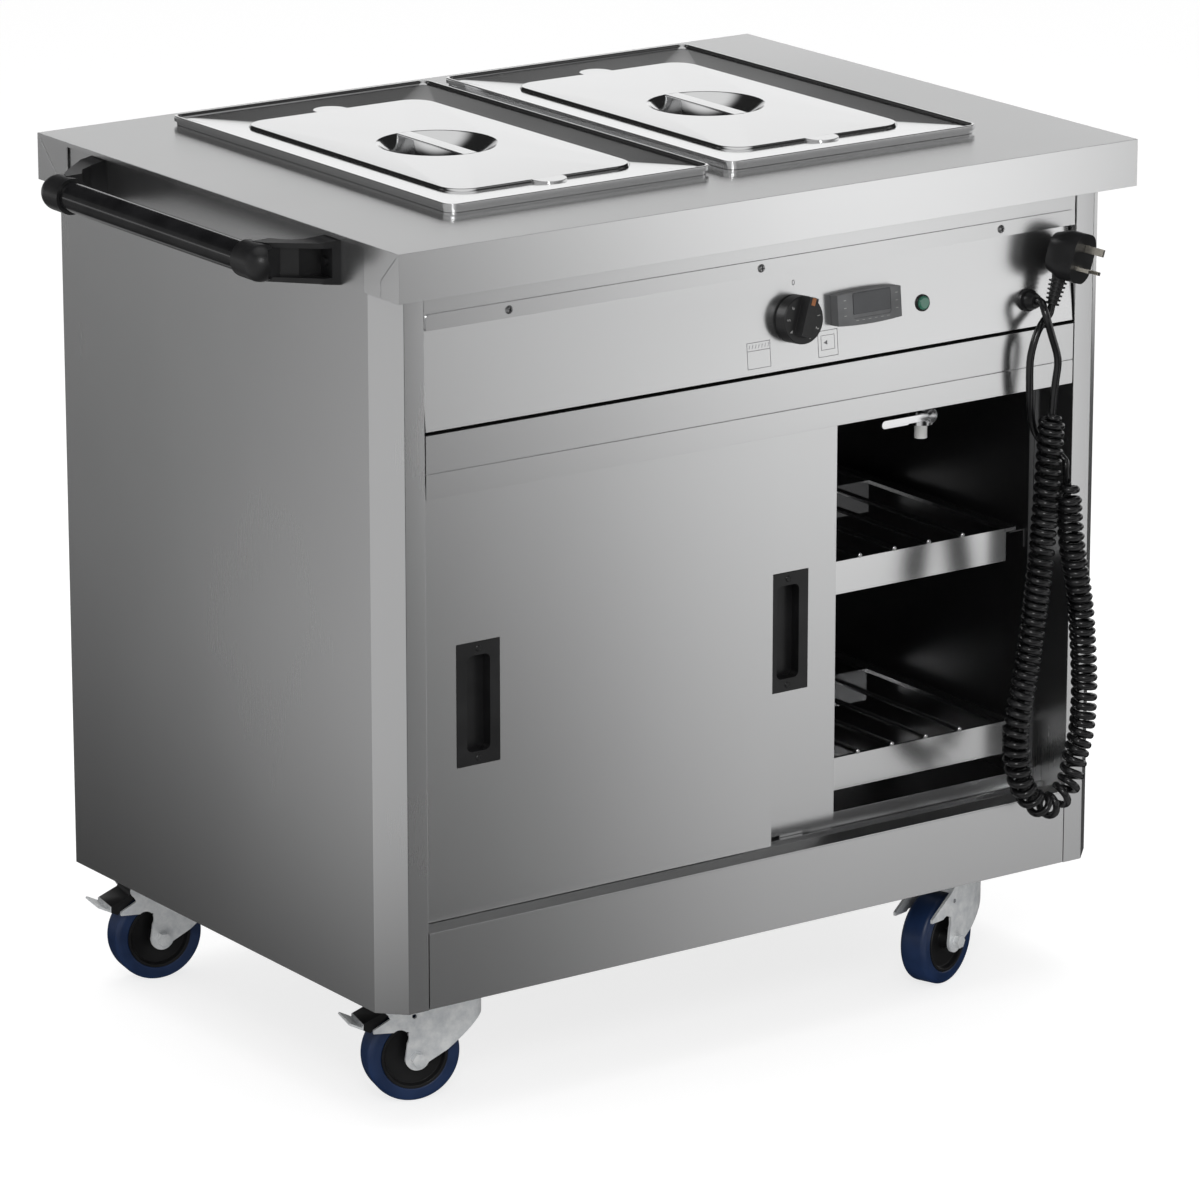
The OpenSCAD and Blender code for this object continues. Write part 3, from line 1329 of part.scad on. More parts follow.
placed() worktop();
placed() divider_bar();
placed() well_tank();
placed() well_element();
placed() drain_body();
placed() drain_lever();
placed() drain_outlet();
placed() over_well(-1) pan();  // pan_left
placed() over_well(1) pan();  // pan_right
placed() over_well(-1) lid();  // lid_left
placed() over_well(1) lid();  // lid_right
placed() side_panel(-1);  // side_panel_left
placed() side_panel(1);  // side_panel_right
placed() back_panel();
placed() base_pan();
placed() plinth();
placed() bottom_track();
placed() top_track();
placed() badge_strip();
placed() upper_rail();
placed() control_fascia();
placed() fascia_screws();
placed() cupboard_liner();
placed() cupboard_heater();
placed() door(door_left_x, door_setback, left_pull_x);  // door_left
placed() door(door_right_x, rear_door_y, right_pull_x);  // door_right
placed() pull(left_pull_x, door_setback);  // pull_left
placed() pull(right_pull_x, rear_door_y);  // pull_right
placed() shelf(shelf_z[1]);  // shelf_upper
placed() shelf(shelf_z[0]);  // shelf_lower
placed() shelf_supports();
placed() control_knob();
placed() knob_pointer();
placed() regulator_body();
placed() controller_unit();
placed() indicator_lamp();
placed() handle_bar();
placed() handle_bracket(-1);  // handle_bracket_near
placed() handle_bracket(1);  // handle_bracket_far
placed() castor_plates();
placed() castor_fork(CASTORS[0]);  // castor_fork_fl
placed() castor_fork(CASTORS[1]);  // castor_fork_fr
placed() castor_fork(CASTORS[2]);  // castor_fork_bl
placed() castor_fork(CASTORS[3]);  // castor_fork_br
placed() wheel_hub(CASTORS[0]);  // wheel_hub_fl
placed() wheel_hub(CASTORS[1]);  // wheel_hub_fr
placed() wheel_hub(CASTORS[2]);  // wheel_hub_bl
placed() wheel_hub(CASTORS[3]);  // wheel_hub_br
placed() tyre(CASTORS[0]);  // tyre_fl
placed() tyre(CASTORS[1]);  // tyre_fr
placed() tyre(CASTORS[2]);  // tyre_bl
placed() tyre(CASTORS[3]);  // tyre_br
placed() brake_pedal(CASTORS[0]);  // brake_pedal_fl
placed() brake_pedal(CASTORS[2]);  // brake_pedal_bl
placed() cable_gland();
placed() cord_lead();
placed() cord_curls();
placed() cord_tail();
placed() plug_body();
placed() plug_pins();
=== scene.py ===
"""Hostess trolley: two lidded pans over a heated cupboard on castors, dressed round its CAD frame."""
import json
import math

import bpy
from mathutils import Matrix, Vector


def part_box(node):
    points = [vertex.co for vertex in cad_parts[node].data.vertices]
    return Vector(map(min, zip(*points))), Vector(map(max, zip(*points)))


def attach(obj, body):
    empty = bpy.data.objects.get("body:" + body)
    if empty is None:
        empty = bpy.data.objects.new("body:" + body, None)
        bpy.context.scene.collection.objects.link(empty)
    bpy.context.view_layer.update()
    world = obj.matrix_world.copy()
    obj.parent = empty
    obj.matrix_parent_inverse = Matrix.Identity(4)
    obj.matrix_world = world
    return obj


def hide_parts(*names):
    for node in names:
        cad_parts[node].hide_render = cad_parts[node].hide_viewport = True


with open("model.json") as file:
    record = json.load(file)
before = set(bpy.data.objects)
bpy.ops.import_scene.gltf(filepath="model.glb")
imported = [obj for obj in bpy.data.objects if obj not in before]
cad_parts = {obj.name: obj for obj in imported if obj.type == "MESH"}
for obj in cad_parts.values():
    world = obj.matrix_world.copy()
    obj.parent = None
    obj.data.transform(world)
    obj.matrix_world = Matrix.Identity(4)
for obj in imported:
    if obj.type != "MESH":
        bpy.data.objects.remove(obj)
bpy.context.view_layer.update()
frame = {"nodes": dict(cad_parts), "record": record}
nodes = frame["nodes"]
MM = 0.001

# The body's own axes, in millimetres: x from its middle, y from its front, z from the floor
SHIFT = Vector((41, -310, 0))


def row(x, y, z):
    """Point given on the body's axes in millimetres, as a point of the frame in metres."""
    return (Vector((x, y, z)) + SHIFT) * MM


# ---------------------------------------------------------------- camera

CAMERA_PLACE = (-3.81739, -5.52101, 2.37118)
CAMERA_YAW = 35.07
CAMERA_DIP = 16.17
CAMERA_LENS = 196.6
SENSOR_WIDTH = 36
VIEW_END = 60


def stand_camera():
    bpy.ops.object.select_all(action="DESELECT")
    bpy.ops.object.camera_add(
        location=CAMERA_PLACE, rotation=(math.radians(90 - CAMERA_DIP), 0, -math.radians(CAMERA_YAW)))
    camera = bpy.context.object
    camera.data.sensor_width = SENSOR_WIDTH
    camera.data.lens = CAMERA_LENS
    camera.data.clip_end = VIEW_END
    bpy.context.scene.camera = camera


# ---------------------------------------------------------------- finishes

class Wire:
    """A socket of a material whose sums and products add Math nodes."""

    def __init__(self, finish, socket):
        self.finish = finish
        self.socket = socket

    def maths(self, operation, *inputs, clamp=False):
        return self.finish.add("ShaderNodeMath", {"operation": operation, "use_clamp": clamp}, *inputs)

    def __add__(self, other):
        return self.maths("ADD", self, other)

    def __sub__(self, other):
        return self.maths("SUBTRACT", self, other)

    def __mul__(self, other):
        return self.maths("MULTIPLY", self, other)

    def __truediv__(self, other):
        return self.maths("DIVIDE", self, other)

    def __rsub__(self, other):
        return self.maths("SUBTRACT", other, self)

    def __neg__(self):
        return self.maths("MULTIPLY", self, -1)

    __radd__ = __add__
    __rmul__ = __mul__

    def low(self, other):
        return self.maths("MINIMUM", self, other)

    def high(self, other):
        return self.maths("MAXIMUM", self, other)

    def clamped(self):
        return self.maths("ADD", self, 0, clamp=True)


class Finish:
    """A material under construction, built round one Principled shader."""

    def __init__(self, name, **shader):
        self.material = bpy.data.materials.new(name)
        self.material.use_nodes = True
        self.tree = self.material.node_tree
        self.shader = self.tree.nodes["Principled BSDF"]
        for socket, value in shader.items():
            socket = socket.replace("_", " ").title().replace("Ior", "IOR")
            if "Color" in socket or socket.endswith("Tint"):
                value = (*value, 1)
            self.shader.inputs[socket].default_value = value
        self.place = self.add("ShaderNodeTexCoord", output="Object")

    def add(self, kind, settings=None, *inputs, output=0, **named):
        """Adds a node with its settings, feeds its sockets with values or wires, and gives an output."""
        node = self.tree.nodes.new(kind)
        for key, value in (settings or {}).items():
            if key == "stops":
                ramp = node.color_ramp
                for index, (at, shade) in enumerate(value):
                    stop = ramp.elements[index] if index < 2 else ramp.elements.new(at)
                    stop.position = at
                    stop.color = (*shade, 1) if isinstance(shade, tuple) else (shade, shade, shade, 1)
            else:
                setattr(node, key, value)
        for socket, value in [*enumerate(inputs), *named.items()]:
            if isinstance(socket, str):
                socket = socket.replace("_", " ")
            if isinstance(value, Wire):
                self.tree.links.new(value.socket, node.inputs[socket])
            else:
                node.inputs[socket].default_value = value
        return Wire(self, node.outputs[output]) if output is not None else node

    def noise(self, scale, detail=3.0, rough=0.5, stretch=(1, 1, 1)):
        """Noise of so many grains to the metre along each axis, from 0 to 1."""
        place = self.add("ShaderNodeMapping", None, self.place, Scale=stretch)
        return self.add(
            "ShaderNodeTexNoise", None, place, output="Fac", Scale=scale, Detail=detail, Roughness=rough)

    def axes(self):
        """The place's x, y and z."""
        split = self.add("ShaderNodeSeparateXYZ", None, self.place).socket.node
        return [Wire(self, split.outputs[index]) for index in range(3)]

    def ramp(self, factor, *stops):
        """Colour of a factor, between stops that each hold a place from 0 to 1 and a shade."""
        return self.add("ShaderNodeValToRGB", {"stops": stops}, factor, output="Color")

    def feed(self, **sockets):
        """Links wires to the shader's sockets, given by their names in small letters."""
        for socket, wire in sockets.items():
            self.tree.links.new(wire.socket, self.shader.inputs[socket.replace("_", " ").title()])
        return self

    def bump(self, height, depth, strength=1.0):
        """Bumps of a height of 0 to 1, so deep in metres."""
        normal = self.add(
            "ShaderNodeBump", None, output="Normal", Strength=strength, Distance=depth, Height=height)
        return self.feed(normal=normal)


def shaded(colour, share, lift=0):
    """A colour times a share, plus a lift."""
    return tuple(min(1, value * share + lift) for value in colour)


# Each noise is given by its scale, detail and roughness
GRAIN_NOISE = (12, 2, 0.6)
SMEAR_NOISE = (2.6, 3, 0.5)
SPOT_NOISE = (45, 2, 0.5)
GRAIN_STRETCH = 50.0
GRAIN_SHARE = 0.16
SMEAR_SHARE = 0.8
SPOT_SHARE = 0.04
STEEL_DARK = 0.98
STEEL_LIGHT = 1.016
SMEAR_GLOSS = 0.05


def brushed_steel(name, colour, rough, along, streak=0.008):
    """Stainless sheet with fine grain along one axis, faint smears and a few soft marks."""
    finish = Finish(name, base_color=colour, metallic=1.0, roughness=rough)
    grain = finish.noise(*GRAIN_NOISE, [1.0 if index == along else GRAIN_STRETCH for index in range(3)])
    smear = finish.noise(*SMEAR_NOISE)
    spot = finish.noise(*SPOT_NOISE)
    marks = grain * GRAIN_SHARE + smear * SMEAR_SHARE + spot * SPOT_SHARE
    finish.feed(base_color=finish.ramp(
        marks, (0.35, shaded(colour, STEEL_DARK)), (0.65, shaded(colour, STEEL_LIGHT))))
    finish.feed(roughness=rough + (grain - 0.5) * streak + (smear - 0.5) * SMEAR_GLOSS)
    return finish.material


PATCH_NOISE = (25, 3, 0.5)
TEXTURE_DETAIL = (2, 0.5)
MOULDED_DARK = 0.75
MOULDED_LIGHT = 1.3
MOULDED_LIFT = 0.004
PATCH_GLOSS = 0.12
TEXTURE_GLOSS = 0.06
TEXTURE_BUMP = 0.6


def moulded(name, colour, rough, grain=0.00004, scale=1600, **shader):
    """Moulded plastic or rubber with a fine texture and a little unevenness in its gloss."""
    finish = Finish(name, base_color=colour, roughness=rough, **shader)
    texture = finish.noise(scale, *TEXTURE_DETAIL)
    patch = finish.noise(*PATCH_NOISE)
    finish.feed(base_color=finish.ramp(
        patch, (0.3, shaded(colour, MOULDED_DARK)), (0.7, shaded(colour, MOULDED_LIGHT, MOULDED_LIFT))))
    finish.feed(roughness=rough + (patch - 0.5) * PATCH_GLOSS + (texture - 0.5) * TEXTURE_GLOSS)
    return finish.bump(texture, grain, TEXTURE_BUMP).material


CLOUD_NOISE = (90, 4, 0.6)
SCRATCH_NOISE = (600, 2, 0.6)
ZINC_COLOUR = (0.74, 0.75, 0.76)
ZINC_DARK = (0.6, 0.62, 0.64)
ZINC_LIGHT = (0.82, 0.83, 0.83)
ZINC_METAL = 0.45
ZINC_ROUGH = 0.34
CLOUD_GLOSS = 0.14
SCRATCH_GLOSS = 0.05
SCRATCH_DEPTH = 0.00004
SCRATCH_BUMP = 0.4


def zinc_plate(name):
    """Bright zinc with cloudy spangle and small marks."""
    finish = Finish(name, base_color=ZINC_COLOUR, metallic=ZINC_METAL, roughness=ZINC_ROUGH)
    cloud = finish.noise(*CLOUD_NOISE)
    scratch = finish.noise(*SCRATCH_NOISE)
    finish.feed(base_color=finish.ramp(cloud, (0.3, ZINC_DARK), (0.7, ZINC_LIGHT)))
    finish.feed(roughness=ZINC_ROUGH + cloud * CLOUD_GLOSS + scratch * SCRATCH_GLOSS)
    return finish.bump(scratch, SCRATCH_DEPTH, SCRATCH_BUMP).material


# One stainless sheet in three tones: painted lighter on the worktop and divider, and darker on the side and
# back panels and base pan than on the front, as painted light and shade
PANEL = brushed_steel("panel_steel", (0.66, 0.662, 0.665), 0.27, along=2)
FRONT = brushed_steel("front_steel", (0.69, 0.692, 0.695), 0.25, along=0)
TOP = brushed_steel("worktop_steel", (0.78, 0.782, 0.785), 0.25, along=0)
# Stainless steel painted dark: painted shade for the enclosed well, cupboard liner and shelf supports, and
# for the dark look of the fascia's screw heads
DARKENED_STEEL = brushed_steel("steel_painted_dark", (0.3, 0.3, 0.305), 0.3, along=0)
BRIGHT = brushed_steel("pan_steel", (0.77, 0.772, 0.775), 0.12, along=1, streak=0.01)
ROD = brushed_steel("rod_steel", (0.74, 0.742, 0.745), 0.2, along=1)
CHROME = brushed_steel("chrome_plate", (0.8, 0.8, 0.81), 0.1, along=2)
ELEMENT = brushed_steel("element_tube", (0.2, 0.18, 0.17), 0.5, along=1)
ZINC = zinc_plate("zinc_plate")
BLACK = moulded("black_plastic", (0.006, 0.006, 0.0065), 0.36, specular_ior_level=0.4)
SLEEVE = moulded("black_sleeve", (0.004, 0.004, 0.0045), 0.14, grain=0.000004, scale=300, coat_weight=0.2)
KNOB = moulded("knob_plastic", (0.006, 0.006, 0.0065), 0.4)
RUBBER = moulded("cord_rubber", (0.004, 0.004, 0.0045), 0.2, grain=0.00001, scale=700)
TYRE = moulded("tyre_rubber", (0.002, 0.016, 0.062), 0.38, grain=0.00005, scale=900)
WHITE = moulded("white_plastic", (0.82, 0.82, 0.8), 0.4)
GREY = moulded("grey_plastic", (0.1, 0.102, 0.105), 0.34)
SCREEN = moulded("screen_glass", (0.025, 0.027, 0.03), 0.1, grain=0.000004, scale=200)
INK = moulded("print_ink", (0.16, 0.16, 0.165), 0.5)
MARK = moulded("pale_print", (0.3, 0.3, 0.295), 0.5)
ORANGE = moulded("orange_plastic", (0.24, 0.085, 0.025), 0.4)
LENS = moulded("lamp_lens", (0.02, 0.11, 0.07), 0.12, grain=0.000004, coat_weight=0.6)
BRASS = brushed_steel("pin_metal", (0.7, 0.66, 0.58), 0.25, along=1)

BODY_OF = {node: body for body, names in frame["record"]["behaviour"]["bodies"].items() for node in names}


# ---------------------------------------------------------------- modelling

# Gap in metres under which points of a CAD mesh are one, and angle under which its faces are
CAD_MERGE = 0.00001
CAD_FLAT = 0.8
# Side of the plane that a mesh built from nothing starts with
SEED = 0.001
CIRCLE_PARTS = 48


def only(*objects):
    """Leaves just these selected, the first one active."""
    if bpy.context.mode != "OBJECT":
        bpy.ops.object.mode_set(mode="OBJECT")
    bpy.ops.object.select_all(action="DESELECT")
    for item in objects:
        item.select_set(True)
    bpy.context.view_layer.objects.active = objects[0]


def modified(piece, kind, **settings):
    """Adds a modifier with its settings and applies it."""
    only(piece)
    bpy.ops.object.modifier_add(type=kind)
    modifier = piece.modifiers[-1]
    for key, value in settings.items():
        setattr(modifier, key, value)
    bpy.ops.object.modifier_apply(modifier=modifier.name)
    return piece


def smoothed(piece, angle=32):
    """Shades round forms smooth, and keeps large flat faces true beside their rounded edges."""
    only(piece)
    bpy.ops.object.shade_smooth_by_angle(angle=math.radians(angle), keep_sharp_edges=False)
    return modified(piece, "WEIGHTED_NORMAL", keep_sharp=True, mode="FACE_AREA", weight=50)


def rounded(piece, width, segments=2, angle=30):
    """Rounds the sharp edges by a width in millimetres."""
    return modified(
        piece, "BEVEL", width=width * MM, segments=segments, limit_method="ANGLE",
        angle_limit=math.radians(angle), harden_normals=False)


def painted(piece, material):
    """Gives a piece one finish, in place of any that it has."""
    piece.data.materials.clear()
    piece.data.materials.append(material)
    return piece


def settled(piece):
    """Puts a finished piece's place into its mesh."""
    only(piece)
    bpy.ops.object.transform_apply(location=True, rotation=True, scale=True)
    return piece


def copied(node, name):
    """A copy of a CAD node's mesh with its doubles merged and its flat faces made whole."""
    piece = bpy.data.objects.new(name, nodes[node].data.copy())
    bpy.context.scene.collection.objects.link(piece)
    only(piece)
    bpy.ops.object.mode_set(mode="EDIT")
    bpy.ops.mesh.select_all(action="SELECT")
    bpy.ops.mesh.customdata_custom_splitnormals_clear()
    bpy.ops.mesh.remove_doubles(threshold=CAD_MERGE)
    bpy.ops.mesh.dissolve_limited(angle_limit=math.radians(CAD_FLAT))
    bpy.ops.object.mode_set(mode="OBJECT")
    return piece


def dressed(node, material, round_mm, segments=2, angle=32):
    """A CAD node with soft edges and its finish, standing for the node."""
    piece = copied(node, node + "_dressed")
    if round_mm:
        rounded(piece, round_mm, segments)
    smoothed(piece, angle)
    painted(piece, material)
    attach(piece, BODY_OF[node])
    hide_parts(node)
    return piece


def carried(piece, node, material, replaces=False):
    """Rides a new piece on the body of a node and gives it its finish."""
    painted(piece, material)
    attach(piece, BODY_OF[node])
    if replaces:
        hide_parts(node)
    return piece


def joined(name, pieces):
    """Makes one piece of several."""
    only(*pieces)
    if len(pieces) > 1:
        bpy.ops.object.join()
    whole = bpy.context.object
    whole.name = name
    return whole


def in_edit(*steps):
    """Runs edit mode operators, each with its settings, on the active piece."""
    bpy.ops.object.mode_set(mode="EDIT")
    for step, settings in steps:
        step(**settings)
    bpy.ops.object.mode_set(mode="OBJECT")


# ---------------------------------------------------------------- lids

WELL_MIDDLE = (10, 348)
LID_APART = 172.75
LID_SIZE = (325, 530)
LID_CORNER = 12
LID_SHEET = 0.9
LID_TOP = 934.5
LID_FOOT = 929.2
LID_VALLEY = 928.2
LID_PANEL = 931
# How far inside the lid's outline the rim's section runs, and how high
LID_RIM = (
    (0, LID_FOOT), (0, LID_TOP - 0.8), (0.4, LID_TOP - 0.2), (1, LID_TOP), (3, LID_TOP), (3.5, LID_TOP - 0.3),
    (4.2, LID_TOP - 1.5), (5.2, LID_TOP - 2.7))
PANEL_SIZE = (225, 402)
PANEL_CORNER = 26
# How far outside the panel's outline its edge runs, and how high
PANEL_EDGE = ((4, LID_VALLEY), (3, LID_VALLEY + 0.2), (1.5, LID_PANEL - 0.6), (0, LID_PANEL))
DISH_R = 63
DISH_DEPTH = 25
DISH_SPHERE_R = (DISH_R ** 2 + DISH_DEPTH ** 2) / (2 * DISH_DEPTH)
DISH_LIP = 1
DISH_LIP_DROP = 0.3
DISH_STEPS = (61.5, 56, 45, 32, 18, 6)
# Share of a half side that the corners of a round outline take
ROUND = 0.998
STRAP_SIZE = (18, 2 * DISH_R + 1, 1.8)
STRAP_DROP = 0.8
STRAP_ROUND = 0.7
LAND_D = 39
LAND_THICK = 3.2
LAND_OUT = 2
LAND_DROP = 1.62
LAND_ROUND = 0.8
LID_SMOOTH = 40
CORNER_PARTS = 11
RING_MERGE = 0.00002
PANEL_FACE_AREA = 0.0005
NEARLY_LEVEL = 0.95


def dish_ring(r):
    """Ring of the dish's round wall at a radius."""
    z = LID_PANEL - DISH_DEPTH + DISH_SPHERE_R - math.sqrt(DISH_SPHERE_R ** 2 - r ** 2)
    return (2 * r, 2 * r, r * ROUND, z)


def grown_ring(size, corner, growth, z):
    return (size[0] + 2 * growth, size[1] + 2 * growth, corner + growth, z)


def lid_rings():
    """Width, length, corner radius and height of the lid's rings, from its foot to the middle of its dish."""
    rim = [grown_ring(LID_SIZE, LID_CORNER, -inset, z) for inset, z in LID_RIM]
    panel = [grown_ring(PANEL_SIZE, PANEL_CORNER, outset, z) for outset, z in PANEL_EDGE]
    lip = [
        (2 * (DISH_R + out), 2 * (DISH_R + out), DISH_R * ROUND, LID_PANEL - drop)
        for out, drop in ((DISH_LIP, 0), (0, DISH_LIP_DROP))]
    return rim + panel + lip + [dish_ring(r) for r in DISH_STEPS]


def add_ring(ring):
    """Adds a round-cornered outline, as a plane with bevelled corners and no face."""
    width, length, corner, z = ring
    bpy.ops.mesh.primitive_plane_add(size=1, location=(0, 0, z * MM))
    bpy.ops.transform.resize(value=(width * MM, length * MM, 1), center_override=(0, 0, 0))
    bpy.ops.mesh.bevel(offset=corner * MM, segments=CORNER_PARTS, affect="VERTICES", clamp_overlap=False)


def add_band(lower, upper):
    """The strip of sheet between two outlines."""
    bpy.ops.object.select_all(action="DESELECT")
    bpy.ops.mesh.primitive_plane_add(size=SEED)
    band = bpy.context.object
    bpy.ops.object.mode_set(mode="EDIT")
    bpy.ops.mesh.delete(type="VERT")
    for ring in (lower, upper):
        add_ring(ring)
        bpy.ops.mesh.delete(type="ONLY_FACE")
    bpy.ops.mesh.select_all(action="SELECT")
    bpy.ops.mesh.bridge_edge_loops()
    bpy.ops.object.mode_set(mode="OBJECT")
    return band


def make_lid():
    """The pressed lid about the well's own middle: raised rim, sloping valley, panel, dish and strap."""
    rings = lid_rings()
    bands = [add_band(lower, upper) for lower, upper in zip(rings, rings[1:])]
    bpy.ops.object.select_all(action="DESELECT")
    bpy.ops.mesh.primitive_plane_add(size=SEED)
    bottom = bpy.context.object
    in_edit((bpy.ops.mesh.delete, {"type": "VERT"}), (add_ring, {"ring": rings[-1]}))
    shell = joined("lid", [*bands, bottom])
    in_edit(
        (bpy.ops.mesh.select_all, {"action": "SELECT"}),
        (bpy.ops.mesh.remove_doubles, {"threshold": RING_MERGE}),
        (bpy.ops.mesh.normals_make_consistent, {"inside": False}))
    level = [
        face.normal.z for face in shell.data.polygons
        if face.area > PANEL_FACE_AREA and abs(face.normal.z) > NEARLY_LEVEL]
    if sum(level) < 0:
        in_edit((bpy.ops.mesh.select_all, {"action": "SELECT"}), (bpy.ops.mesh.flip_normals, {}))
    modified(shell, "SOLIDIFY", thickness=LID_SHEET * MM, offset=-1)
    bpy.ops.object.select_all(action="DESELECT")
    bpy.ops.mesh.primitive_cube_add(size=1, location=(0, 0, (LID_PANEL - STRAP_DROP) * MM))
    strap = bpy.context.object
    strap.scale = Vector(STRAP_SIZE) * MM
    rounded(settled(strap), STRAP_ROUND, 3)
    lands = []
    for side in (-1, 1):
        bpy.ops.object.select_all(action="DESELECT")
        bpy.ops.mesh.primitive_cylinder_add(
            vertices=CIRCLE_PARTS, radius=LAND_D / 2 * MM, depth=LAND_THICK * MM,
            location=(0, side * (PANEL_SIZE[1] / 2 + LAND_OUT) * MM, (LID_PANEL - LAND_DROP) * MM))
        lands.append(rounded(settled(bpy.context.object), LAND_ROUND, 3))
    return joined("lid", [shell, strap, *lands])


def place_lids():
    """One pressing, copied to both halves of the well."""
    lid = make_lid()
    for side, node in ((-1, "lid_left"), (1, "lid_right")):
        bpy.ops.object.select_all(action="DESELECT")
        piece = bpy.data.objects.new(node + "_dressed", lid.data.copy())
        bpy.context.scene.collection.objects.link(piece)
        piece.location = row(WELL_MIDDLE[0] + side * LID_APART, WELL_MIDDLE[1], 0)
        smoothed(settled(piece), LID_SMOOTH)
        carried(piece, node, BRIGHT, replaces=True)
    bpy.data.objects.remove(lid)


# ---------------------------------------------------------------- cord

CORD_D = 8
CURL_PITCH = 9.8
CURL_R = 10.5
CORD_Y = -35
# Plain cord at either end of the curls, and the lengths that run straight before it bends
LEAD_END = 8
LEAD_STRAIGHT = 12
RELIEF_STRAIGHT = 10
CURL_STEPS = 18
CURL_FADE = 1.5
ROUTE_STEPS = 4
TANGENT_STEP = 0.01
TURN_STEP = 0.1
# Middle line of the curls as x and z, and of the plain runs to the gland and to the plug as x, y and z
CURL_ROUTE = [
    (355, 644), (345, 505), (335, 424), (327, 371), (315, 310), (315, 272), (328, 234), (358, 211),
    (386, 230), (396, 262), (404, 292), (406, 340), (401, 407), (395, 447), (385, 498), (379, 549),
    (377, 566)]
LEAD_ROUTE = [(349, -29, 750), (354, -32, 730), (361, -35, 703), (359, -35, 681)]
TAIL_ROUTE = [
    (376, -31, 590), (369, -21, 602), (358, -14, 610), (347, -15, 624), (339, -18, 645), (336, -20, 672),
    (336, -20, 700), (340, -20, 718), (347, -19, 732), (357, -17, 742)]
FASCIA_LEAN = 0.1
FASCIA_TILT = math.atan(FASCIA_LEAN)
FASCIA_FOOT = 731
FASCIA_FOOT_Y = 1.2
GLAND_X = 350
GLAND_Z = 760
GLAND_OUT = 16
PLUG_AT = Vector((385, -21, 808))
PLUG_TURN = (
    Matrix.Rotation(math.radians(20), 3, "Z") @ Matrix.Rotation(math.radians(6), 3, "X")
    @ Matrix.Rotation(math.radians(17), 3, "Y"))
PLUG_H = 53
RELIEF_L = 28
RELIEF_Y = 5


def fascia_y(z):
    """How far back the leaning fascia's face is at a height."""
    return FASCIA_FOOT_Y + (z - FASCIA_FOOT) * FASCIA_LEAN


FACE_OUT = Vector((0, -math.cos(FASCIA_TILT), math.sin(FASCIA_TILT)))
GLAND_AT = Vector((GLAND_X, fascia_y(GLAND_Z), GLAND_Z))


def curve_point(points, index, share):
    """Point on a smooth curve through the points, between one point and the next."""
    last = len(points) - 1
    a = points[max(index - 1, 0)]
    b = points[index]
    c = points[min(index + 1, last)]
    d = points[min(index + 2, last)]
    slope = (c - a) * share
    bend = (2 * a - 5 * b + 4 * c - d) * share ** 2
    twist = (3 * b - a - 3 * c + d) * share ** 3
    return b + (slope + bend + twist) / 2


def smooth_path(points):
    """The points of a smooth run through the given ones."""
    return [
        curve_point(points, index, step / ROUTE_STEPS)
        for index in range(len(points) - 1) for step in range(ROUTE_STEPS)] + [points[-1]]


def curl_marks(route):
    """How many curls lie before each point of the route; they stand wider where it bends."""
    spans = [(route[index + 1] - route[index]).length for index in range(len(route) - 1)]

    def bend(index):
        """Angle turned to the millimetre at a point."""
        if index in (0, len(route) - 1):
            return 0
        before = (route[index] - route[index - 1]).normalized()
        after = (route[index + 1] - route[index]).normalized()
        return math.acos(min(before.dot(after), 1)) / ((spans[index - 1] + spans[index]) / 2)

    marks = [0]
    for index, span in enumerate(spans):
        marks.append(marks[-1] + span * (1 - max(bend(index), bend(index + 1)) * CURL_R) / CURL_PITCH)
    return marks


def cord_points():
    """Middle line of the whole cord from the gland to the plug, on the body's axes."""
    route = [Vector((x, CORD_Y, z)) for x, z in CURL_ROUTE]
    marks = curl_marks(route)
    turns = marks[-1]
    start = (curve_point(route, 0, TANGENT_STEP) - route[0]).normalized()
    end = (route[-1] - curve_point(route, len(route) - 2, 1 - TANGENT_STEP)).normalized()
    top = route[0] - LEAD_END * start
    tail = route[-1] + LEAD_END * end

    def middle(turn):
        """Point on the curls' middle line after so many turns."""
        index = max(k for k in range(len(route) - 1) if k == 0 or turn >= marks[k])
        return curve_point(route, index, (turn - marks[index]) / (marks[index + 1] - marks[index]))

    def curl(turn):
        """Point on the cord after so many turns; the curls open out from the line at both ends."""
        along = (middle(min(turn + TURN_STEP, turns)) - middle(max(turn - TURN_STEP, 0))).normalized()
        out = Vector((0, 1, 0))
        side = math.cos(math.tau * turn) * along.cross(out) + math.sin(math.tau * turn) * out
        share = min(max(min(turn, turns - turn) / CURL_FADE, 0), 1)
        return middle(turn) + CURL_R * share * share * (3 - 2 * share) * side

    steps = int(turns * CURL_STEPS)
    curls = [curl(turns * index / steps) for index in range(steps + 1)]
    gland_tip = GLAND_AT + GLAND_OUT * FACE_OUT
    relief_axis = PLUG_TURN @ Vector((0, 0, -1))
    relief_tip = PLUG_AT + PLUG_TURN @ Vector((0, RELIEF_Y, -PLUG_H / 2 - RELIEF_L))
    lead = smooth_path([
        gland_tip, gland_tip + LEAD_END * FACE_OUT, *map(Vector, LEAD_ROUTE),
        top - LEAD_STRAIGHT * start, top])
    back = smooth_path([
        tail, tail + LEAD_STRAIGHT * end, *map(Vector, TAIL_ROUTE),
        relief_tip + RELIEF_STRAIGHT * relief_axis, relief_tip])
    return lead + curls + back


def make_cord():
    """The whole mains lead as one round cord, with the plug on its end."""
    points = [row(*point) for point in cord_points()]
    data = bpy.data.curves.new("mains_cord", "CURVE")
    data.dimensions = "3D"
    data.bevel_depth = CORD_D / 2 * MM
    data.bevel_resolution = 3
    data.use_fill_caps = True
    spline = data.splines.new("POLY")
    spline.points.add(len(points) - 1)
    for place, point in zip(spline.points, points):
        place.co = (*point, 1)
    spline.use_smooth = True
    cord = bpy.data.objects.new("mains_cord", data)
    bpy.context.scene.collection.objects.link(cord)
    data.materials.append(RUBBER)
    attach(cord, "carcass")
    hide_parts("cord_lead", "cord_curls", "cord_tail")


# ---------------------------------------------------------------- printing and small parts of the fascia

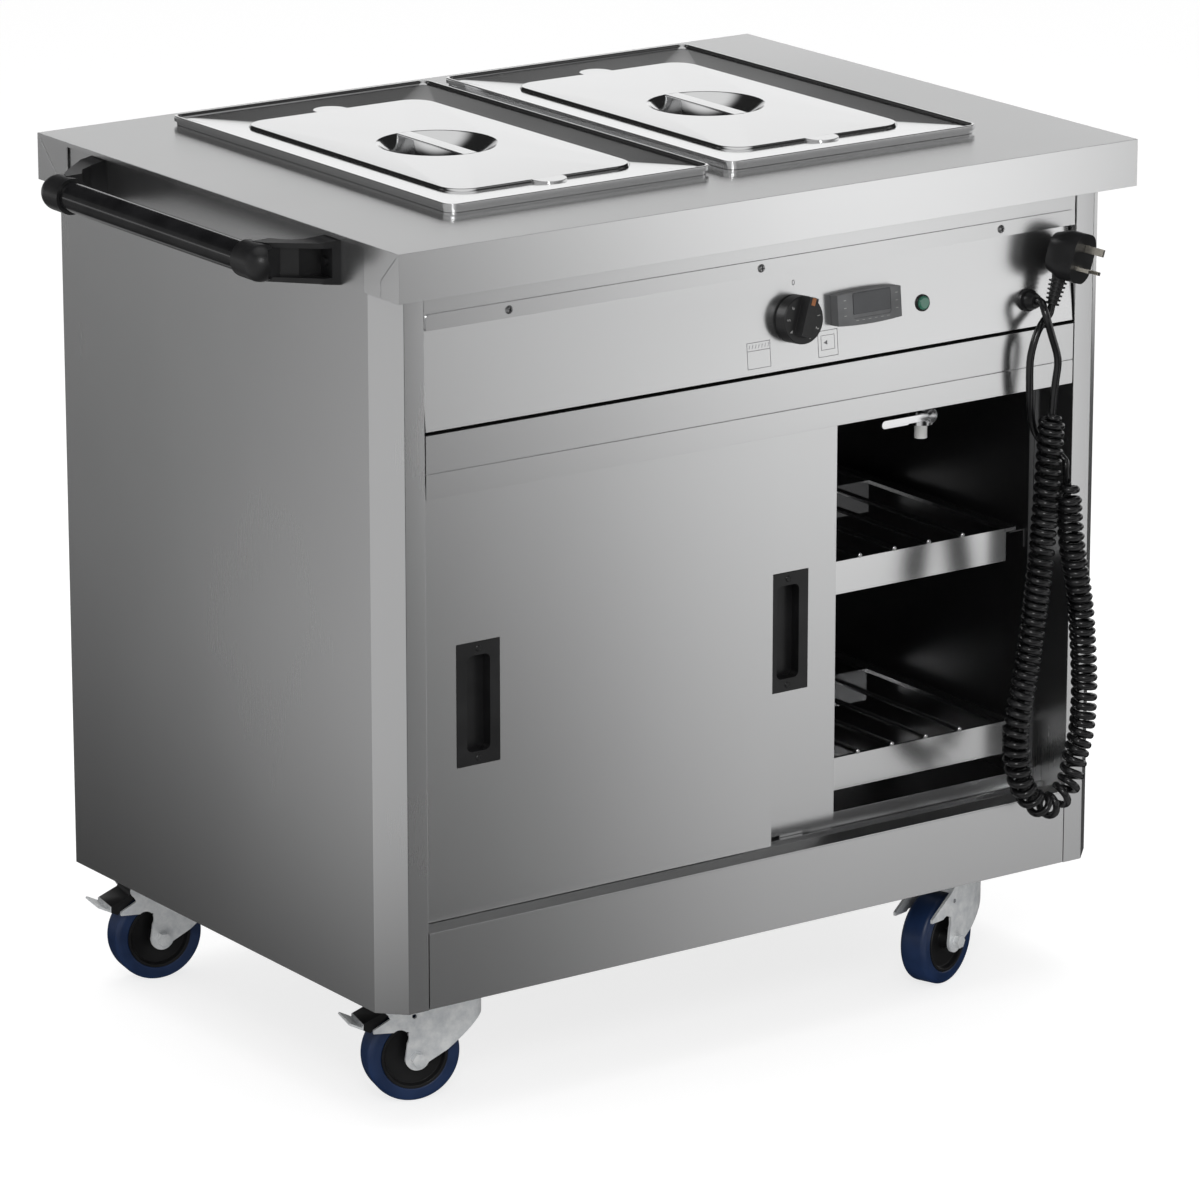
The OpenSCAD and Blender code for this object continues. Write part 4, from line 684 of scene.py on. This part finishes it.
# Places on the fascia in millimetres: across from the body's middle, and up from its foot
KNOB_AT = (46.5, 51)
KNOB_FACE = 17.3
POINTER_TURN = 20
CONTROLLER_AT = (135, 53)
CONTROLLER_FACE = 12
LAMP_AT = (212, 45)
SCREW_PITCH = 310
PRINT_LIFT = 0.02
LINE_WIDTH = 0.6
THIN_LINE = 0.5
LINE_THICK = 0.06
FIGURE_THICK = 0.04
ZERO_AT = (48, 88)
ZERO_SIZE = 8
STEAM_AT = (0, 20)
STEAM_BOX = (29, 27)
STEAM_LINE = 5
STEAM_TICKS = range(-12, 13, 4)
STEAM_TICK_FOOT = 7.5
STEAM_TICK_TOP = 11
STEAM_TICK_LEAN = 1.2
HEAT_AT = (88, 20)
HEAT_BOX = (25, 27)
HEAT_OVEN = (17, 15)
HEAT_OVEN_AT = (0, 1)
ARROW_TIP = (-5, 1)
ARROW_STEP = (0.5, 0.25)
ARROW_STEPS = 9
NUMERAL_ANGLES = (62, 102, 142, 218, 258, 298)
NUMERAL_RING = 19
NUMERAL_SIZE = 5.4
SCREEN_SIZE = (48, 22, 0.7)
SCREEN_PLACE = (3, 5, 0)
SCREEN_SUNK = 0.2
SCREEN_EDGE = 0.3
KEY_COLUMNS = (-31.5, 35)
KEY_ROWS = (-6, 2, 10)
KEY_REACH = 1.2
KEY_LINE = 0.7
STRIP_MARKS = range(-18, 24, 8)
STRIP_Y = -12.5
STRIP_MARK_L = 3
BEZEL_R = 7.9
BEZEL_THICK = 1.1
BEZEL_OUT = 0.9
BEZEL_PARTS = 12
BEZEL_SMOOTH = 60
SLOT_REACH = 2.3
SLOT_WIDTH = 0.9
SLOT_DEPTH = 0.3
SLOT_OUT = 0.05
SLOT_TURN = 0.5


def on_fascia(at, out):
    """Frame with its origin on the fascia, in millimetres: x across, y up along it, z out of it."""
    up = Vector((0, math.sin(FASCIA_TILT), math.cos(FASCIA_TILT)))
    place = Vector(row(at[0], fascia_y(FASCIA_FOOT), FASCIA_FOOT)) + (up * at[1] + FACE_OUT * out) * MM
    turn = Matrix((Vector((1, 0, 0)), up, FACE_OUT)).transposed().to_4x4()
    return Matrix.Translation(place) @ turn @ Matrix.Scale(MM, 4)


def stroke(start, end, width=LINE_WIDTH, height=LINE_THICK):
    """Flat line from one point to another."""
    bpy.ops.object.select_all(action="DESELECT")
    bpy.ops.mesh.primitive_cube_add(size=1)
    line = bpy.context.object
    along = Vector(end) - Vector(start)
    line.scale = (along.length + width, width, height)
    line.rotation_euler = (0, 0, math.atan2(along.y, along.x))
    line.location = ((start[0] + end[0]) / 2, (start[1] + end[1]) / 2, height / 2)
    return settled(line)


def outline(width, height, middle=(0, 0), line=LINE_WIDTH):
    """The four printed sides of a box."""
    x, y = width / 2, height / 2
    corners = [(middle[0] + i * x, middle[1] + j * y) for i, j in ((-1, -1), (1, -1), (1, 1), (-1, 1))]
    return [stroke(corners[k], corners[(k + 1) % 4], line) for k in range(4)]


def figure(text, at, size, turn=0):
    """A thin numeral, flat on the plane and upright unless turned."""
    bpy.ops.object.select_all(action="DESELECT")
    bpy.ops.object.text_add()
    sign = bpy.context.object
    sign.data.body = text
    sign.data.size = size
    sign.data.extrude = FIGURE_THICK
    sign.data.align_x = "CENTER"
    sign.data.align_y = "CENTER"
    bpy.ops.object.convert(target="MESH")
    sign = bpy.context.object
    sign.location = (at[0], at[1], FIGURE_THICK)
    sign.rotation_euler = (0, 0, turn)
    return settled(sign)


def fixed(name, pieces, at, out, node, material, turn=0):
    """Sets flat pieces on the fascia, at a height over it, to ride with a node."""
    whole = joined(name, pieces)
    whole.matrix_world = on_fascia(at, out) @ Matrix.Rotation(turn, 4, "Z")
    return carried(settled(whole), node, material)


def print_fascia():
    """Setting mark and the two plain picture symbols, printed on the steel."""
    fixed("zero_mark", [figure("0", (0, 0), ZERO_SIZE)], ZERO_AT, PRINT_LIFT, "control_fascia", INK)
    side = STEAM_BOX[0] / 2
    steam = outline(*STEAM_BOX) + [stroke((-side, STEAM_LINE), (side, STEAM_LINE))]
    steam += [
        stroke((x, STEAM_TICK_FOOT), (x + STEAM_TICK_LEAN, STEAM_TICK_TOP), THIN_LINE) for x in STEAM_TICKS]
    fixed("steam_symbol", steam, STEAM_AT, PRINT_LIFT, "control_fascia", INK)
    oven = outline(*HEAT_BOX) + outline(*HEAT_OVEN, HEAT_OVEN_AT, THIN_LINE)
    for step in range(ARROW_STEPS):
        x = ARROW_TIP[0] + step * ARROW_STEP[0]
        half = step * ARROW_STEP[1]
        oven.append(stroke((x, ARROW_TIP[1] - half), (x, ARROW_TIP[1] + half)))
    fixed("cupboard_symbol", oven, HEAT_AT, PRINT_LIFT, "control_fascia", INK)


def print_knob():
    """Numerals round the knob's face, upright to its middle, that turn with it."""
    pieces = []
    for number, angle in zip("123456", NUMERAL_ANGLES):
        turn = math.radians(angle)
        at = (NUMERAL_RING * math.sin(turn), NUMERAL_RING * math.cos(turn))
        pieces.append(figure(number, at, NUMERAL_SIZE, -turn))
    fixed(
        "knob_numerals", pieces, KNOB_AT, KNOB_FACE + PRINT_LIFT, "control_knob", MARK,
        turn=-math.radians(POINTER_TURN))


def detail_controller():
    """Screen, key marks and the strip of marks below it on the controller's face."""
    bpy.ops.object.select_all(action="DESELECT")
    bpy.ops.mesh.primitive_cube_add(size=1)
    glass = bpy.context.object
    glass.scale = SCREEN_SIZE
    glass.location = SCREEN_PLACE
    settled(glass)
    modified(glass, "BEVEL", width=SCREEN_EDGE, segments=2, limit_method="ANGLE")
    fixed(
        "controller_screen", [glass], CONTROLLER_AT, CONTROLLER_FACE - SCREEN_SUNK, "controller_unit", SCREEN)
    marks = [
        stroke((x - KEY_REACH, y), (x + KEY_REACH, y), KEY_LINE) for x in KEY_COLUMNS for y in KEY_ROWS]
    marks += [stroke((x, STRIP_Y), (x + STRIP_MARK_L, STRIP_Y), THIN_LINE) for x in STRIP_MARKS]
    fixed("controller_marks", marks, CONTROLLER_AT, CONTROLLER_FACE + PRINT_LIFT, "controller_unit", MARK)


def detail_lamp():
    """Black ring round the lamp's lens."""
    bpy.ops.object.select_all(action="DESELECT")
    bpy.ops.mesh.primitive_torus_add(
        major_radius=BEZEL_R, minor_radius=BEZEL_THICK,
        major_segments=CIRCLE_PARTS, minor_segments=BEZEL_PARTS)
    ring = fixed("lamp_bezel", [settled(bpy.context.object)], LAMP_AT, BEZEL_OUT, "indicator_lamp", BLACK)
    smoothed(ring, BEZEL_SMOOTH)


def detail_screws():
    """Black crosses on the heads of the fascia's screws: painted shade standing for their recessed slots."""
    low, high = (Vector(corner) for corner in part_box("fascia_screws"))
    for index in (-1, 0, 1):
        cross = joined("fascia_slot_%d" % (index + 2), [
            stroke((-x, -y), (x, y), SLOT_WIDTH, SLOT_DEPTH) for x, y in ((SLOT_REACH, 0), (0, SLOT_REACH))])
        middle = (index * SCREW_PITCH + SHIFT.x) * MM
        cross.matrix_world = (
            Matrix.Translation((middle, low.y + SLOT_OUT * MM, (low.z + high.z) / 2))
            @ Matrix.Rotation(math.radians(90), 4, "X") @ Matrix.Rotation(SLOT_TURN * index, 4, "Z")
            @ Matrix.Scale(MM, 4))
        carried(settled(cross), "fascia_screws", BLACK)


# How far from the swivel's axis the pedal's black pad ends
PLATE_REACH = 101


def dress_pedal(corner):
    """Brake pedal: a zinc plate sticks out past its moulded black pad."""
    node = "brake_pedal_" + corner
    pedal = dressed(node, BLACK, 0.8)
    joints = frame["record"]["behaviour"]["joints"]
    pivot = Vector(next(joint["pos_m"] for joint in joints if joint["name"] == "swivel_" + corner))
    low, high = (Vector(point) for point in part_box(node))
    away = ((low + high) / 2 - pivot) * Vector((1, 1, 0))
    away.normalize()
    cut = pivot + away * PLATE_REACH * MM
    only(pedal)
    in_edit(
        (bpy.ops.mesh.select_all, {"action": "SELECT"}),
        (bpy.ops.mesh.bisect, {"plane_co": cut, "plane_no": away, "use_fill": False}))
    pedal.data.materials.append(ZINC)
    for face in pedal.data.polygons:
        if (face.center - cut).dot(away) > 0:
            face.material_index = 1


# ---------------------------------------------------------------- pieces carried over from the frame

stand_camera()

for name in ("side_panel_left", "side_panel_right", "back_panel"):
    dressed(name, PANEL, 0.7)
for name in ("plinth", "bottom_track", "top_track", "badge_strip", "upper_rail", "control_fascia"):
    dressed(name, FRONT, 0.35)
dressed("base_pan", PANEL, 0.3)
dressed("worktop", TOP, 0.6)
dressed("divider_bar", TOP, 0.6)
# The well, cupboard liner and shelf supports take the steel painted dark, as painted shade inside the hollows
dressed("well_tank", DARKENED_STEEL, 0.4)
dressed("well_element", ELEMENT, 0)
dressed("cupboard_heater", ELEMENT, 0)
dressed("cupboard_liner", DARKENED_STEEL, 0.4)
dressed("shelf_supports", DARKENED_STEEL, 0.4)
dressed("drain_body", CHROME, 0.4)
dressed("drain_lever", CHROME, 0.4)
dressed("drain_outlet", WHITE, 0.4)
# The screw heads take the same steel painted dark, a painted shade
dressed("fascia_screws", DARKENED_STEEL, 0.15)
for name in ("pan_left", "pan_right"):
    dressed(name, BRIGHT, 0.3)
place_lids()
for name in ("door_left", "door_right"):
    dressed(name, FRONT, 0.6)
for name in ("shelf_upper", "shelf_lower"):
    dressed(name, ROD, 0.4)
for name in ("pull_left", "pull_right"):
    dressed(name, BLACK, 0.5)
dressed("control_knob", KNOB, 0.8, 3)
dressed("knob_pointer", ORANGE, 0.3)
dressed("regulator_body", GREY, 0.5)
dressed("controller_unit", GREY, 0.8, 3)
dressed("indicator_lamp", LENS, 0.5, 3)
dressed("cable_gland", BLACK, 0.5)
dressed("handle_bar", SLEEVE, 0)
dressed("handle_bracket_near", BLACK, 1.2, 3)
dressed("handle_bracket_far", BLACK, 1.2, 3)
dressed("castor_plates", ZINC, 0.4)
for corner in ("fl", "fr", "bl", "br"):
    dressed("castor_fork_" + corner, ZINC, 0.5)
    dressed("wheel_hub_" + corner, BLACK, 0.5)
    dressed("tyre_" + corner, TYRE, 0.4)
for corner in ("fl", "bl"):
    dress_pedal(corner)
dressed("plug_body", BLACK, 0.8)
dressed("plug_pins", BRASS, 0.4)
make_cord()
print_fascia()
print_knob()
detail_controller()
detail_lamp()
detail_screws()

# ---------------------------------------------------------------- stage and light

FLOOR_SIZE = 60
FLOOR_GREY = (0.32, 0.32, 0.32)
FLOOR_ROUGH = 0.9
FLOOR_GLOW = 0.76
DIMMEST = 0.015
FRONT_Y = -0.31
SIDE_X = -0.46
# Slope over the floor of the camera's view as the front and the left side mirror it, and its rise
FRONT_SLANT = 0.702
FRONT_SHIFT = 0.218
FRONT_RISE = 0.355
SIDE_SLANT = 1.424
# Level directions: away from the camera, and nearly to its right
AWAY_X = 0.57
AWAY_Y = 0.82
RIGHT_X = 0.883
RIGHT_Y = 0.469
FRONT_GAIN = 1.25
FRONT_BASE = 0.44
FRONT_BRIGHTEST = 2.4
SIDE_GAIN = -0.85
SIDE_BASE = 0.36
SIDE_DIMMEST = 0.12
SIDE_BRIGHTEST = 0.56
BEHIND_GLOW = 0.35
FAR_GLOW = 0.75
# Where each part of the floor's painted reflection pattern starts and ends, in metres
LEFT_REFLECTION_FADE = (-0.38, 0.16)
RIGHT_REFLECTION_FADE = (0.75, 1.0)
DISTANT_FRONT = (-4.2, -7.0)
DISTANT_TURN = (0.5, 0.8)
FRONT_LINE = (-0.3, -0.4)
FRONT_END = (-0.8, -0.62)
SIDE_LINE = (-0.4, -0.55)
SIDE_REFLECTION_FADE = (0, 1.0)
BACK_LINE = (0.4, 0.8)
BACK_END = (0.9, 0.3)
FAR_FLOOR = (2.4, 3.4)
# Where each part of the sky's pattern starts and ends, as a share of a direction's whole length
BACK_WALL = (-0.1, 0.5)
LEFT_WALL = (-0.5, 0.1)
ROOF_EDGE = (0.29, 0.25)
OVERHEAD = (0.78, 0.94)
FRONT_LEFT = (0.3, -0.2)
ABOVE_FRONT = (0.24, 0.34)
FRONT_TOP = (0.75, 0.5)
HORIZON = (0.2, 0.05)
HORIZON_RIGHT = (0.42, 0.62)
OBJECT_MIDDLE = Vector((0, 0, 0.5))
EVEN_GLOW = 0.62
SEEN_GLOW = 1.0


def eased(wire, start, end):
    """0 before the start, 1 past the end, and a soft step between; the start may be the greater."""
    share = ((wire - start) * (1 / (end - start))).clamped()
    return share * share * (3 - share * 2)


def faded(wire, band, start, end):
    """Goes softly from the start value to the end value over a band."""
    return eased(wire, *band) * (end - start) + start


def make_floor():
    """Pale glowing floor; only the steel sees its painted reflection pattern, darker towards the left as if
    beside dark cloths that are not there.
    """
    bpy.ops.object.select_all(action="DESELECT")
    bpy.ops.mesh.primitive_plane_add(size=FLOOR_SIZE, location=(0, 0, 0))
    floor = bpy.context.object
    floor.name = "studio_floor"
    finish = Finish(
        "studio_floor", base_color=FLOOR_GREY, roughness=FLOOR_ROUGH, emission_color=(1, 1, 1),
        emission_strength=FLOOR_GLOW)
    x, y, _ = finish.axes()
    # Where along the front, and how high on it, the camera finds this point of the floor mirrored
    across = x + y * FRONT_SLANT + FRONT_SHIFT
    height = (FRONT_Y - y) * FRONT_RISE
    front = faded(across, LEFT_REFLECTION_FADE, 0.16, 0.76) * (height * FRONT_GAIN + FRONT_BASE).low(FRONT_BRIGHTEST)
    front = front * faded(across, RIGHT_REFLECTION_FADE, 1, 0.05)
    distant = eased(y, *DISTANT_FRONT)
    front = front * (1 - distant) + distant * faded(x / -y, DISTANT_TURN, 1, 1.4)
    depth = y + (x - SIDE_X) * SIDE_SLANT
    beside = (depth * SIDE_GAIN + SIDE_BASE).high(SIDE_DIMMEST).low(SIDE_BRIGHTEST)
    beside = beside * faded(SIDE_X - x, SIDE_REFLECTION_FADE, 0.15, 1)
    ahead = eased(y, *FRONT_LINE) * eased(across, *FRONT_END)
    aside = eased(x, *SIDE_LINE) * (1 - ahead)
    behind = eased(y, *BACK_LINE) * eased(x, *BACK_END) * (1 - aside)
    far = eased(x * AWAY_X + y * AWAY_Y, *FAR_FLOOR)
    glow = front * ahead + beside * aside + (behind * BEHIND_GLOW).high(far * FAR_GLOW) + DIMMEST
    # Glow seen by glossy rays only: a painted reflection on the steel
    painted_reflection = finish.add("ShaderNodeEmission", None, output=0, Strength=glow)
    path = finish.add("ShaderNodeLightPath", output="Is Glossy Ray")
    mix = finish.add("ShaderNodeMixShader", None, path).socket.node
    link = finish.tree.links.new
    link(finish.shader.outputs[0], mix.inputs[1])
    link(painted_reflection.socket, mix.inputs[2])
    link(mix.outputs[0], finish.tree.nodes["Material Output"].inputs[0])
    painted(floor, finish.material)


class Sky(Finish):
    """The world's nodes, built as a material's are."""

    def __init__(self, tree):
        self.tree = tree
        self.place = self.add("ShaderNodeTexCoord", output="Generated")


def make_world():
    """White to the camera, an even glow to matt things, and to shiny ones a pale wall under a dark roof."""
    world = bpy.data.worlds.new("studio")
    bpy.context.scene.world = world
    world.use_nodes = True
    world.node_tree.nodes.clear()
    sky = Sky(world.node_tree)
    x, y, z = sky.axes()
    back = eased(x * AWAY_X + y * AWAY_Y, *BACK_WALL)
    wall = back * faded(x * RIGHT_X - y * RIGHT_Y, LEFT_WALL, 0.1, 1) * eased(z, *ROOF_EDGE)
    top = faded(z, OVERHEAD, 0, 0.8)
    ahead = faded(x, FRONT_LEFT, 0, 0.45).high(faded(z, ABOVE_FRONT, 0.04, 0.54))
    rest = eased(z, *FRONT_TOP) * ahead * (1 - back)
    horizon = eased(z, *HORIZON) * (1 - back) * faded(x, HORIZON_RIGHT, 0.6, 0.85)
    glow = sky.add("ShaderNodeBackground", None, Strength=wall + rest.high(horizon) + top + DIMMEST)
    even = sky.add("ShaderNodeBackground", None, Strength=EVEN_GLOW)
    seen = sky.add("ShaderNodeBackground", None, Strength=SEEN_GLOW)
    for shade in (glow, even, seen):
        shade.socket.node.inputs[0].default_value = (1, 1, 1, 1)
    shiny = sky.add("ShaderNodeLightPath", output="Is Glossy Ray")
    camera = sky.add("ShaderNodeLightPath", output="Is Camera Ray")
    lit = sky.add("ShaderNodeMixShader", None, shiny, even, glow)
    whole = sky.add("ShaderNodeMixShader", None, camera, lit, seen)
    sky.add("ShaderNodeOutputWorld", None, whole, output=None)


def add_light(name, place, width, height, watts, shiny=True):
    """A softbox aimed at the middle of the object."""
    bpy.ops.object.select_all(action="DESELECT")
    bpy.ops.object.light_add(type="AREA", location=place)
    light = bpy.context.object
    light.name = name
    light.data.shape = "RECTANGLE"
    light.data.size = width
    light.data.size_y = height
    light.data.energy = watts
    light.rotation_euler = (OBJECT_MIDDLE - Vector(place)).to_track_quat("-Z", "Y").to_euler()
    light.visible_camera = False
    light.visible_glossy = shiny


make_floor()
make_world()
add_light("overhead_softbox", (0.2, 0.3, 3.6), 3.4, 3.0, 95, shiny=False)
add_light("key_softbox", (-2.2, -3.6, 3.0), 1.1, 1.1, 45)
bpy.context.scene.view_settings.view_transform = "Standard"
